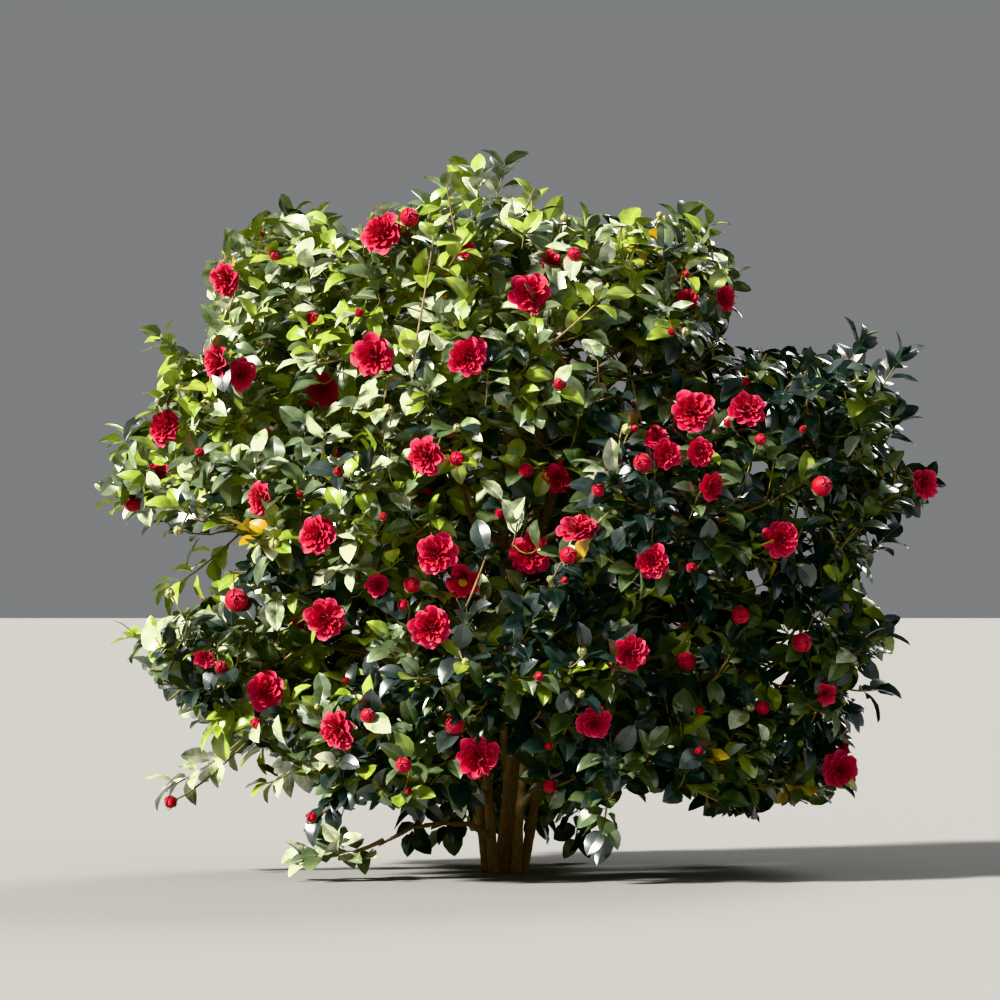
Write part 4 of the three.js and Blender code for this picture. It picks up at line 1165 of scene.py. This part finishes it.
def blade_places(roots, headings, faces, lengths):
    """Places spread over every leaf."""
    side = unit(np.cross(faces, headings))
    along, across = np.meshgrid(BLADE_LENGTHWISE, BLADE_CROSSWISE)
    half = LEAF["width"] / 2 * np.interp(along, *np.transpose(LEAF_OUTLINE))
    parts = headings[:, None] * along.ravel()[:, None] + side[:, None] * (across * half).ravel()[:, None]
    return (roots[:, None] + parts * lengths[:, None, None]).reshape(-1, 3)


def looking_along(axis):
    """How places are seen from far off along an axis, and how they are brought back."""
    others = [other for other in range(3) if other != axis]
    return (lambda points: points[..., others]), (lambda place, depth: np.insert(place, axis, depth))


def holes_in(cover):
    """The cells that aren't covered, with covered ones near on all four sides."""
    ways = ((0, 1), (0, -1), (1, 1), (1, -1))
    steps = range(1, HOLE_REACH)
    near = [np.any([np.roll(cover, way * step, axis) for step in steps], axis=0) for axis, way in ways]
    return ~cover & np.all(near, axis=0)


def leaves_over_holes(leaves, wood, axis, facing, seen, back):
    """Root, heading and face of leaves that close the holes seen in one way of looking."""
    middle_cell = CELLS_EACH_WAY // 2
    cover = np.zeros((CELLS_EACH_WAY, CELLS_EACH_WAY), bool)
    cells = np.round(seen(blade_places(*leaves)) / CELL).astype(int) + middle_cell
    cover[tuple(cells.T)] = True
    wood_seen = seen(wood)
    grown = []
    for row, column in np.argwhere(holes_in(cover)):
        place = (np.array([row, column]) - middle_cell) * CELL
        off = np.linalg.norm(wood_seen - place, axis=1)
        bearers = wood[(off > LEAST_OFF) & (off < MOST_OFF)]
        if cover[row, column] or not len(bearers):
            continue
        root = bearers[np.argmin(bearers @ facing)]
        middle = back(place, root[axis])
        if in_gap(seen_at(middle)) or not within_edge(seen_at(middle)):
            continue
        face = facing + UP * rng.uniform(*FILLING_UPWARD)
        face += rng.uniform(-FILLING_ASKEW, FILLING_ASKEW, 3)
        grown.append((root, unit(middle - root), face))
        rows = slice(row - LEAF_CELLS, row + LEAF_CELLS + 1)
        columns = slice(column - LEAF_CELLS, column + LEAF_CELLS + 1)
        cover[rows, columns] = True
    return grown


def leaf_finish(name, body, light):
    """A glossy leaf: mottled, with a pale midrib and side veins sunk a little into the blade. Where the
    light colour is near white, the mottle's light patches are painted glints.
    """
    finish = Finish(name, {"Coat Roughness": 0.24, "Coat IOR": 1.7, "Specular IOR Level": 0.8})
    parts = finish.node("UVMap", {"uv_map": "blade"}, {})
    along = finish.node("SeparateXYZ", {}, {"Vector": parts}, "X")
    off = (finish.node("SeparateXYZ", {}, {"Vector": parts}, "Y") - 0.5).size()
    midrib = (1 - off * 24).limited()
    slant = (along * 8 - off * 6).fraction()
    side_veins = ((slant - 0.5).size() * 14 - 6).limited()
    veins = (midrib + side_veins * 0.35).limited()
    mottle = finish.noise(finish.place(), 26, 3)
    grain = finish.noise(finish.place(), 420, 2)
    # The light patches of the mottle: a lighter leaf colour, and on the grey tint near-white painted
    # glints.
    blade = finish.blend((mottle * 3.6 - 1.3).limited(), body, light)
    finish.join(finish.surface, {
        "Base Color": finish.blend(veins * 0.4, blade, light),
        "Roughness": 0.28 + mottle * 0.16 + veins * 0.1,
        "Coat Weight": 1 - mottle * 0.4,
    })
    finish.raise_by(grain * 0.25 - veins, 0.35, 0.0009)
    return finish.material


def leaf_mesh(name, points, columns):
    """Leaves of one tint, creased along their midribs, with their own blades' coordinates."""
    rows, faces = leaf_template(columns)
    count = len(points)
    shifted = (faces[None] + (np.arange(count) * len(rows))[:, None, None]).reshape(-1, 3)
    mesh = mesh_from(name, points.reshape(-1, 3), shifted)
    blade = np.stack([rows[:, 0], 0.5 + 0.5 * rows[:, 1] * rows[:, 2]], axis=-1)
    corners = values_of(mesh.loops, "vertex_index", 1, np.int32)[:, 0]
    layer = mesh.uv_layers.new(name="blade")
    layer.uv.foreach_set("vector", blade[corners % len(rows)].astype(np.float32).ravel())
    on_midrib = rows[:, 1] == 0
    ends = values_of(mesh.edges, "vertices", 2, np.int32) % len(rows)
    creased = mesh.attributes.new("sharp_edge", "BOOLEAN", "EDGE")
    creased.data.foreach_set("value", on_midrib[ends].all(axis=1))
    return mesh


def tint_shares(shoot):
    """How the leaves of a shoot share out the tints, by where its end is, as painted light and shade."""
    end = shoot.line[-1]
    end_seen = seen_at(end)
    low = end_seen[1] < LOW_BELOW
    stands_out = end_seen[0] < (LOW_LEFT_OF if low else STANDING_OUT_LEFT_OF)
    stands_out |= end_seen[1] > STANDING_OUT_ABOVE
    if end[1] < 0 and np.linalg.norm(YELLOWING - end_seen, axis=1).min() < YELLOWING_REACH:
        return YELLOWED_SHARES
    if shoot.spray is sprays[-1]:
        return PAINTED_GLINT_LOW_SHOOT_SHARES
    if shoot.stray and stands_out:
        return PAINTED_GLINT_LOW_SHOOT_SHARES if low else SUNLIT_STANDING_OUT_SHARES
    if shoot.stray and low:
        return SHADED_HANGING_SHARES
    # Painted shade: more of the deep tint to the right and low down, lighter tints on the sunlit top.
    rightness = np.clip((end[0] - SHADE_MIDDLE) / SHADE_WIDTH + 0.5, 0, 1)
    shade = np.clip(rightness + np.interp(end[2], SHADE_HEIGHTS, SHADES), 0, 1)
    shares = SUNLIT_LEFT_SHARES * (1 - shade) + SHADED_RIGHT_SHARES * shade
    in_top = np.interp(end[2], TOP_HEIGHTS, (0, 1)) * (1 - rightness)
    return shares * (1 - in_top) + SUNLIT_TOP_SHARES * in_top


# Every leaf of every shoot, with its tint, and whether it may stand out of the crown's edge.
roots, headings, upsides, tint_numbers, astray = [], [], [], [], []
for shoot in bearing + stalks + strays + showing_stems:
    shares = tint_shares(shoot)
    starts_outside = not within_edge(seen_at(shoot.line[0]))
    tint = rng.choice(len(TINTS), p=shares)
    for root, heading, upside in leaf_places(shoot):
        roots.append(root)
        headings.append(heading)
        upsides.append(upside)
        differs = rng.random() < ODD_LEAVES
        tint_numbers.append(rng.choice(len(TINTS), p=shares) if differs else tint)
        astray.append(starts_outside or shoot.stray)
roots, headings, upsides = np.array(roots), np.array(headings), np.array(upsides)
tint_numbers = np.array(tint_numbers)
lengths = LEAF_LENGTH * rng.uniform(*LEAF["sizes"], len(roots))

# Only those that have room are kept.
middles = roots + headings * lengths[:, None] * LEAF_MIDDLE
tips = roots + headings * lengths[:, None]
kept = (tips[:, 2] > LOWEST_TIP) & (tips[:, 1] > FRONT_OF_CROWN)
for places in (middles, tips):
    kept &= ~hides(places, flower_seats + open_seats + ball_seats + red_bud_seats + green_bud_seats)
kept &= ~in_gap(seen_at(middles)) | (rng.random(len(middles)) < LEAVES_LEFT_IN_GAPS)
ends_seen = seen_at(roots + headings * lengths[:, None] * LEAF_END)
ragged = rng.uniform(-EDGE_RAGGEDNESS, EDGE_RAGGEDNESS, ends_seen.shape)
kept &= within_edge(ends_seen + ragged) | np.array(astray)
roots, headings, upsides, lengths = roots[kept], headings[kept], upsides[kept], lengths[kept]
tint_numbers = tint_numbers[kept]

# Leaves over the holes that are seen from the front, from the right and from above.
wood = np.concatenate([shoot.line for shoot in bearing])
for axis, facing, (seen, back) in (
    (1, FRONTWARD, (seen_at, brought_back)),
    (0, RIGHTWARD, looking_along(0)),
    (2, UP, looking_along(2)),
):
    added = leaves_over_holes((roots, headings, upsides, lengths), wood, axis, facing, seen, back)
    added_roots, added_headings, added_faces = np.array(added).transpose(1, 0, 2)
    roots = np.concatenate([roots, added_roots])
    headings = np.concatenate([headings, added_headings])
    upsides = np.concatenate([upsides, added_faces])
    lengths = np.concatenate([lengths, LEAF_LENGTH * rng.uniform(*LEAF["sizes"], len(added))])
    tint_numbers = np.concatenate([tint_numbers, rng.choice(len(TINTS), len(added), p=FILLING_SHARES)])

# The colours of each tint's blades: where they are dull, and where they are light and along the veins.
# The grey tint's light colour is near white, a painted glint on a grey-green leaf.
TINT_COLOURS = {
    "deep": (colour(30, 43, 41), colour(58, 72, 66)),
    "middling": (colour(70, 86, 60), colour(112, 128, 88)),
    # The young tint's yellow-green is both young leaves and painted backlight where the sun falls.
    "young": (colour(112, 138, 40), colour(172, 186, 84)),
    "grey_painted_glint": (colour(120, 138, 92), colour(230, 233, 204)),
    "yellowed": (colour(186, 146, 20), colour(220, 188, 62)),
}
behind = roots[:, 1] > PLAIN_BEHIND
for number, tint in enumerate(TINTS):
    finish = leaf_finish(f"{tint}_leaf", *TINT_COLOURS[tint])
    for side, chosen in (("front", ~behind), ("back", behind)):
        some = np.flatnonzero(chosen & (tint_numbers == number))
        columns = PLAIN_LEAF_COLUMNS if side == "back" else LEAF_COLUMNS
        points = leaf_points(roots[some], headings[some], upsides[some], lengths[some], columns)
        name = f"leaves_{tint}_{side}"
        shown_mesh(name, leaf_mesh(name, points, columns), finish, MASSES)


# Flowers
# Full double flowers, as wide as a palm: broad guard petals that lie back, then row upon row of
# shorter, ruffled petals that stand up round the middle. The petals are crimson and satiny.

# The width from which a flower is fully open, and how far open it would be at no width at all.
FULL_FLOWER_WIDTH = 0.1
LEAST_OPEN = 0.45

# The shape of a petal. Its rim falls off to both sides and has a notch in the middle. It is narrow at
# its foot, as wide as it gets from a given share of its length on, cupped, and ruffled by two waves.
# The petals of a row differ in size and place, and lie looser or tighter by some degrees.
PETAL = {
    "foot": 0.035, "sizes": (0.84, 1.09), "looseness": 6, "shift": 0.12, "stagger": 0.7,
    "fall": 0.22, "notch": 0.04, "notch_narrowness": 30, "foot_width": 0.28, "widest": 0.7,
    "wrap": 0.42, "cup": 0.16, "waves": (3.1, 6.7), "second_wave": 0.45,
}

# The rows and columns of points in a petal.
PETAL_GRID = (6, 7)

# Each row of petals: how many, their length and width as shares of the flower's radius, the angle
# from the flower's axis at which they leave it and at which they end, and how ruffled they are.
DOUBLE_ROWS = (
    (8, 1.07, 1.2, 74, 92, 0.09),
    (8, 1.0, 1.1, 62, 80, 0.11),
    (8, 0.9, 0.95, 49, 64, 0.13),
    (8, 0.78, 0.8, 36, 46, 0.16),
    (7, 0.7, 0.68, 23, 22, 0.19),
    (6, 0.64, 0.6, 12, -16, 0.19),
    (5, 0.58, 0.52, 5, -52, 0.17),
)
OPEN_ROWS = (
    (5, 1.04, 2.7, 54, 80, 0.07),
    (5, 0.92, 2.3, 38, 60, 0.08),
)


def petal_grid(length, width, leaving, ending, ruffle, azimuth, phase, steps, columns):
    """Points of one petal round the flower's axis, which is Z, with its foot at the origin."""
    t = np.linspace(-1, 1, columns)[None, :]
    notch = PETAL["notch"] * np.exp(-PETAL["notch_narrowness"] * t**2)
    s = np.linspace(0, 1, steps)[:, None] * (1 - PETAL["fall"] * t**2 - notch)
    first = math.radians(leaving)
    bend = math.radians(ending - leaving)
    angles = first + bend * s
    radial = length * (math.cos(first) - np.cos(angles)) / bend
    axial = length * (np.sin(angles) - math.sin(first)) / bend
    widening = np.sin(math.pi / 2 * np.minimum(1, s / PETAL["widest"]))
    half = width / 2 * (PETAL["foot_width"] + (1 - PETAL["foot_width"]) * widening)
    spread = t * half / (np.abs(radial) + width * PETAL["wrap"])
    slow, quick = PETAL["waves"]
    waves = np.sin(slow * t + phase) + PETAL["second_wave"] * np.sin(quick * t + 2 * phase)
    wave = ruffle * s**1.5 * waves
    cup = PETAL["cup"] * width * t**2 * s
    out = radial + PETAL["foot"] + (wave - cup) * np.cos(angles)
    rise = axial + (wave + cup) * np.sin(angles)
    turn = azimuth + spread
    return np.stack([out * np.cos(turn), out * np.sin(turn), rise], axis=-1).reshape(-1, 3)


def petal_faces(steps, columns):
    faces = []
    for i in range(steps - 1):
        for j in range(columns - 1):
            a = i * columns + j
            faces += [(a, a + columns, a + columns + 1), (a, a + columns + 1, a + 1)]
    return np.array(faces)


def flower_points(rows):
    """Points of every petal of one flower of radius 1, its back at the origin, facing Z."""
    petals = []
    for number, (count, length, width, leaving, ending, ruffle) in enumerate(rows):
        start = number * PETAL["stagger"] + rng.uniform(0, 1)
        for k in range(count):
            azimuth = start + 2 * math.pi * k / count + rng.uniform(-PETAL["shift"], PETAL["shift"])
            bend = rng.normal(0, PETAL["looseness"], 2)
            size = rng.uniform(*PETAL["sizes"])
            phase = rng.uniform(0, 2 * math.pi)
            petals.append(petal_grid(
                length * size, width * size, leaving + bend[0], ending + bend[1], ruffle, azimuth, phase,
                *PETAL_GRID,
            ))
    return np.array(petals)


def seated(points, seat, size):
    """Points of a flower that faces Z, moved to its seat and turned the way that it faces."""
    aside = unit(np.cross(seat.facing, UP))
    above = np.cross(aside, seat.facing)
    axes = np.array([aside, above, seat.facing])
    return seat.place + points * size @ axes


def petal_mesh(name, petals, grid=PETAL_GRID):
    steps, columns = grid
    faces = petal_faces(steps, columns)
    per_petal = steps * columns
    shifted = (faces[None] + (np.arange(len(petals)) * per_petal)[:, None, None]).reshape(-1, 3)
    mesh = mesh_from(name, petals.reshape(-1, 3), shifted)
    s, t = np.divmod(np.arange(per_petal), columns)
    blade = np.stack([s / (steps - 1), t / (columns - 1)], axis=-1)
    corners = values_of(mesh.loops, "vertex_index", 1, np.int32)[:, 0]
    layer = mesh.uv_layers.new(name="petal")
    layer.uv.foreach_set("vector", blade[corners % per_petal].astype(np.float32).ravel())
    return mesh


def petal_finish(name, deep, bright, edge):
    """Satin petals, streaked along their length, with a lighter rim: on petals a painted pink highlight,
    on bud scales their own paler tips.
    """
    finish = Finish(name, {"Sheen Weight": 0.25, "Sheen Roughness": 0.4, "Specular IOR Level": 0.35})
    parts = finish.node("UVMap", {"uv_map": "petal"}, {})
    along = finish.node("SeparateXYZ", {}, {"Vector": parts}, "X")
    streaks = finish.noise(finish.node("Mapping", {}, {"Vector": parts, "Scale": (2, 26, 1)}), 1.6, 3)
    mottle = finish.noise(finish.place(), 60, 3)
    body = finish.blend((along * 0.75 + streaks * 0.8 - 0.4).limited(), deep, bright)
    # The rim's lighter colour: a painted highlight on the petals, the scales' own paler tips on the bud
    # scales.
    rim = ((along - 0.86) * 7).limited()
    finish.join(finish.surface, {
        "Base Color": finish.blend(rim * 0.6, body, edge),
        "Roughness": 0.42 + mottle * 0.2,
    })
    finish.raise_by(streaks + mottle * 0.5, 0.3, 0.001)
    return finish.material


def opened_by(share, rows):
    """The rows of petals, leaning out by only a share of their full angles."""
    return [(*row[:3], row[3] * share, row[4] * share, row[5]) for row in rows]


# The guard petals are pinker than those in the middle, painted light on the outer petals and painted
# shade in the middle, and the narrower flowers have opened less.
guard_petals, inner_petals = [], []
for seat in flower_seats + open_seats:
    rows = OPEN_ROWS if seat in open_seats else DOUBLE_ROWS
    opening = min(1, LEAST_OPEN + (1 - LEAST_OPEN) * seat.width / FULL_FLOWER_WIDTH)
    guards = 0 if seat in open_seats else sum(row[0] for row in rows[:2])
    petals = seated(flower_points(opened_by(opening, rows)), seat, seat.width / 2)
    guard_petals.append(petals[:guards])
    inner_petals.append(petals[guards:])
# Two copies of one petal colour: pinker with painted light for the guard petals, deeper with painted
# shade for the inner ones.
rosy_painted_lit = petal_finish("rosy_petal", colour(184, 12, 44), colour(226, 34, 78), colour(252, 128, 158))
crimson = petal_finish("crimson_petal", colour(150, 3, 26), colour(210, 14, 46), colour(248, 96, 126))
shown_mesh("guard_petals", petal_mesh("guard_petals", np.concatenate(guard_petals)), rosy_painted_lit, MASSES)
halves = np.array_split(np.concatenate(inner_petals), 2)
for number, petals in enumerate(halves, 1):
    name = f"inner_petals_{number}"
    shown_mesh(name, petal_mesh(name, petals), crimson, MASSES)


# Half-open flowers
# Globes of petals still wrapped round each other in a spiral, about half as wide as an open flower.
# Their petals are the same as the open flowers' but darker.
BALL_GRID = (6, 5)
BALL_TWIST = 0.7

# The shape of what is wrapped round a globe: how a petal tapers, bluntly in the innermost layer, how
# its rim falls off and its one edge lies over the next, how tall the globe is, and how petals shift.
WRAPPING = {
    "taper": 0.9, "pointed": 4, "blunt": 16, "fall": 0.06, "overlap": 0.03, "tallness": 1.06,
    "foot": 0.03, "shift": 0.1,
}

# Each layer of the globe from the inside out: how many petals, how much of the way from foot to tip
# they cover, half their width in degrees, their distance from its middle, and how far they gape.
BALL_LAYERS = (
    (3, 0.98, 70, 0.93, 0.0),
    (3, 0.93, 66, 0.965, 0.01),
    (4, 0.87, 56, 1.0, 0.03),
)


def globe_points(layers, twist, grid):
    """Points of the petals or scales round a globe of radius 1, its foot at the origin, facing Z."""
    steps, columns = grid
    s = np.linspace(WRAPPING["foot"], 1, steps)[:, None]
    t = np.linspace(-1, 1, columns)[None, :]
    shift, tallness = WRAPPING["shift"], WRAPPING["tallness"]
    petals = []
    for number, (count, reach, half_width, distance, gape) in enumerate(layers):
        for k in range(count):
            start = 2 * math.pi * (k + 0.5 * number) / count + rng.uniform(-shift, shift)
            tip = WRAPPING["pointed" if number else "blunt"]
            tapering = np.sqrt(1 - WRAPPING["taper"] * s**tip)
            around = start + twist * s + t * math.radians(half_width) * tapering
            down = math.pi * reach * s * (1 - WRAPPING["fall"] * t**2)
            out = distance + gape * s**3 + WRAPPING["overlap"] * t
            aside = out * np.sin(down)
            rise = tallness - tallness * out * np.cos(down)
            petal = np.stack([aside * np.cos(around), aside * np.sin(around), rise], axis=-1)
            petals.append(petal.reshape(-1, 3))
    return np.array(petals)


ball_petals = np.concatenate([
    seated(globe_points(BALL_LAYERS, BALL_TWIST, BALL_GRID), seat, seat.width / 2)
    for seat in ball_seats
])
dark_crimson = petal_finish(
    "dark_crimson_petal", colour(140, 4, 28), colour(204, 18, 48), colour(238, 96, 120)
)
ball_mesh = petal_mesh("half_open_flowers", ball_petals, BALL_GRID)
shown_mesh("half_open_flowers", ball_mesh, dark_crimson, MASSES)


# Buds and sepals
# Round buds in overlapping pale green scales, the older ones showing red at the tip, on stalks and on
# the ends of shoots. The same scales, as sepals, hold every flower from behind.
SCALE_GRID = (5, 4)
CLOSED_SCALES = ((3, 0.98, 68, 0.92, 0.0), (4, 0.78, 50, 0.97, 0.02), (4, 0.48, 46, 1.02, 0.04))
PARTED_SCALES = ((4, 0.52, 48, 0.98, 0.04), (4, 0.34, 46, 1.03, 0.05))
BUD_CORE = ((3, 0.97, 68, 0.93, 0.0),)
SEPALS = ((5, 0.36, 38, 1.02, 0.05), (4, 0.26, 42, 1.07, 0.05))
SCALE_TWIST, CORE_TWIST, SEPAL_TWIST = 0.3, 0.6, 0.2
SEPAL_RADIUS = 0.016
SEPAL_SETBACK = np.array([0, 0, 0.75])

# The buds on the ends of shoots: the share of the shoots that are far enough out to have one, the
# share of those that show red, and how wide, how far on and how much askew they are.
TIP_BUD = {
    "far_out": 0.75, "share": 0.13, "red": 0.35, "widths": (0.013, 0.024), "on": 0.004, "askew": 0.5,
}

for shoot in bearing:
    if shoot.how_far_out() > TIP_BUD["far_out"] and rng.random() < TIP_BUD["share"]:
        heading = shoot.heading_at(shoot.length)
        facing = unit(heading + rng.uniform(-TIP_BUD["askew"], TIP_BUD["askew"], 3))
        place = shoot.line[-1] + heading * TIP_BUD["on"]
        seat = Seat(place, facing, rng.uniform(*TIP_BUD["widths"]), 1, False)
        (red_bud_seats if rng.random() < TIP_BUD["red"] else green_bud_seats).append(seat)

scales, bud_tips = [], []
for seat in green_bud_seats:
    scales.append(seated(globe_points(CLOSED_SCALES, SCALE_TWIST, SCALE_GRID), seat, seat.width / 2))
for seat in red_bud_seats:
    scales.append(seated(globe_points(PARTED_SCALES, SCALE_TWIST, SCALE_GRID), seat, seat.width / 2))
    bud_tips.append(seated(globe_points(BUD_CORE, CORE_TWIST, SCALE_GRID), seat, seat.width / 2))
for seat in ball_seats:
    scales.append(seated(globe_points(SEPALS, SEPAL_TWIST, SCALE_GRID), seat, seat.width / 2))
for seat in flower_seats + open_seats:
    sepals = globe_points(SEPALS, SEPAL_TWIST, SCALE_GRID) - SEPAL_SETBACK
    scales.append(seated(sepals, seat, SEPAL_RADIUS))
pale_scale = petal_finish(
    "bud_scale", colour(140, 146, 84), colour(200, 198, 142), colour(226, 216, 172)
)
for name, parts, finish in (("bud_scales", scales, pale_scale), ("bud_tips", bud_tips, dark_crimson)):
    shown_mesh(name, petal_mesh(name, np.concatenate(parts), SCALE_GRID), finish, MASSES)


# Stamens
# A brush of stamens in the middle of the flower that has opened flat: thin yellow stalks, spread a
# little from the flower's axis, each with a thicker head of pollen.
STAMENS = {"count": 60, "length": 0.03, "radius": 0.0005, "anther": 0.0014, "spread": 0.42}
STAMEN_STATIONS = np.array([0.05, 0.8, 0.9, 1])[:, None]
STAMEN_SIDES = 4
filaments = []
for seat in open_seats:
    for i in range(STAMENS["count"]):
        lean = STAMENS["spread"] * math.sqrt((i + 0.5) / STAMENS["count"])
        turn = i * GOLDEN_TURN
        aside = math.sin(lean)
        direction = np.array([aside * math.cos(turn), aside * math.sin(turn), math.cos(lean)])
        filaments.append(seated(direction * STAMEN_STATIONS * STAMENS["length"], seat, 1))
stamen_radii = (STAMENS["radius"], STAMENS["radius"], STAMENS["anther"], STAMENS["radius"])
stamen_points = np.concatenate([tube_points(line, stamen_radii, STAMEN_SIDES) for line in filaments])
one_stamen = tube_faces(len(stamen_radii), STAMEN_SIDES)
stamen_faces = np.concatenate([
    one_stamen + len(stamen_radii) * STAMEN_SIDES * i for i in range(len(filaments))
])
pollen = Finish("pollen", {"Roughness": 0.8})
grains = pollen.noise(pollen.place(), 500)
pollen.join(pollen.surface, {
    "Base Color": pollen.blend(grains, colour(214, 150, 20), colour(246, 206, 84)),
})
shown_mesh("stamens", mesh_from("stamens", stamen_points, stamen_faces), pollen.material, None)


# Floor
# A plain pale floor, matt and even, which the trunk's foot stands on. It is far wider than the shrub,
# so that its end is seen only as a level line.
FLOOR_HALF = 400
floor_corners = [(x * FLOOR_HALF, y * FLOOR_HALF, 0) for x, y in ((-1, -1), (1, -1), (1, 1), (-1, 1))]
floor_mesh = bpy.data.meshes.new("floor")
floor_mesh.from_pydata(floor_corners, [], [(0, 1, 2, 3)])
pale = Finish("pale_floor", {"Base Color": colour(164, 163, 160), "Roughness": 0.9})
floor_mesh.materials.append(pale.material)
floor = bpy.data.objects.new("floor", floor_mesh)
scene.collection.objects.link(floor)


# Lights
# Soft studio light, even over the whole floor: the key from the upper left, a weak fill from the
# right, and a light from behind. Each is given by where it comes from, its softness in degrees, its
# strength and its tone. The room adds a little light from all round.
LIGHTS = (
    ("key", SUNWARD, 6, 8.3, (1.0, 0.97, 0.92)),
    ("fill", (0.8, -0.75, 0.3), 40, 0.35, (0.93, 0.96, 1.0)),
    ("back", (0.35, 0.85, 0.6), 25, 1.05, (1.0, 0.98, 0.94)),
)
ROOM_COLOUR = colour(226, 228, 230)
ROOM_STRENGTH = 0.32
for name, origin, softness, strength, tone in LIGHTS:
    lamp = bpy.data.lights.new(name, "SUN")
    lamp.angle = math.radians(softness)
    lamp.energy = strength
    lamp.color = tone
    holder = bpy.data.objects.new(name, lamp)
    holder.rotation_euler = Vector(origin).to_track_quat("Z", "Y").to_euler()
    scene.collection.objects.link(holder)
room = bpy.data.worlds.new("room")
room.use_nodes = True
room.node_tree.nodes["Background"].inputs["Color"].default_value = ROOM_COLOUR
room.node_tree.nodes["Background"].inputs["Strength"].default_value = ROOM_STRENGTH
scene.world = room
scene.view_settings.view_transform = "Khronos PBR Neutral"


# Camera
# A long lens from 16 m away, at hip height, tilted up by a degree. The lens and the tilt are given in
# pixels of the frame, the tilt by how far the level line is below the frame's middle.
LENS_PIXELS, FRAME_PIXELS, HORIZON_DROP = 5889, 1000, 108
camera_data = bpy.data.cameras.new("camera")
camera_data.lens = camera_data.sensor_width * LENS_PIXELS / FRAME_PIXELS
camera_data.clip_end = 2000
camera = bpy.data.objects.new("camera", camera_data)
camera.location = EYE
camera.rotation_euler = (math.pi / 2 + math.atan(HORIZON_DROP / LENS_PIXELS), 0, 0)
scene.collection.objects.link(camera)
scene.camera = camera
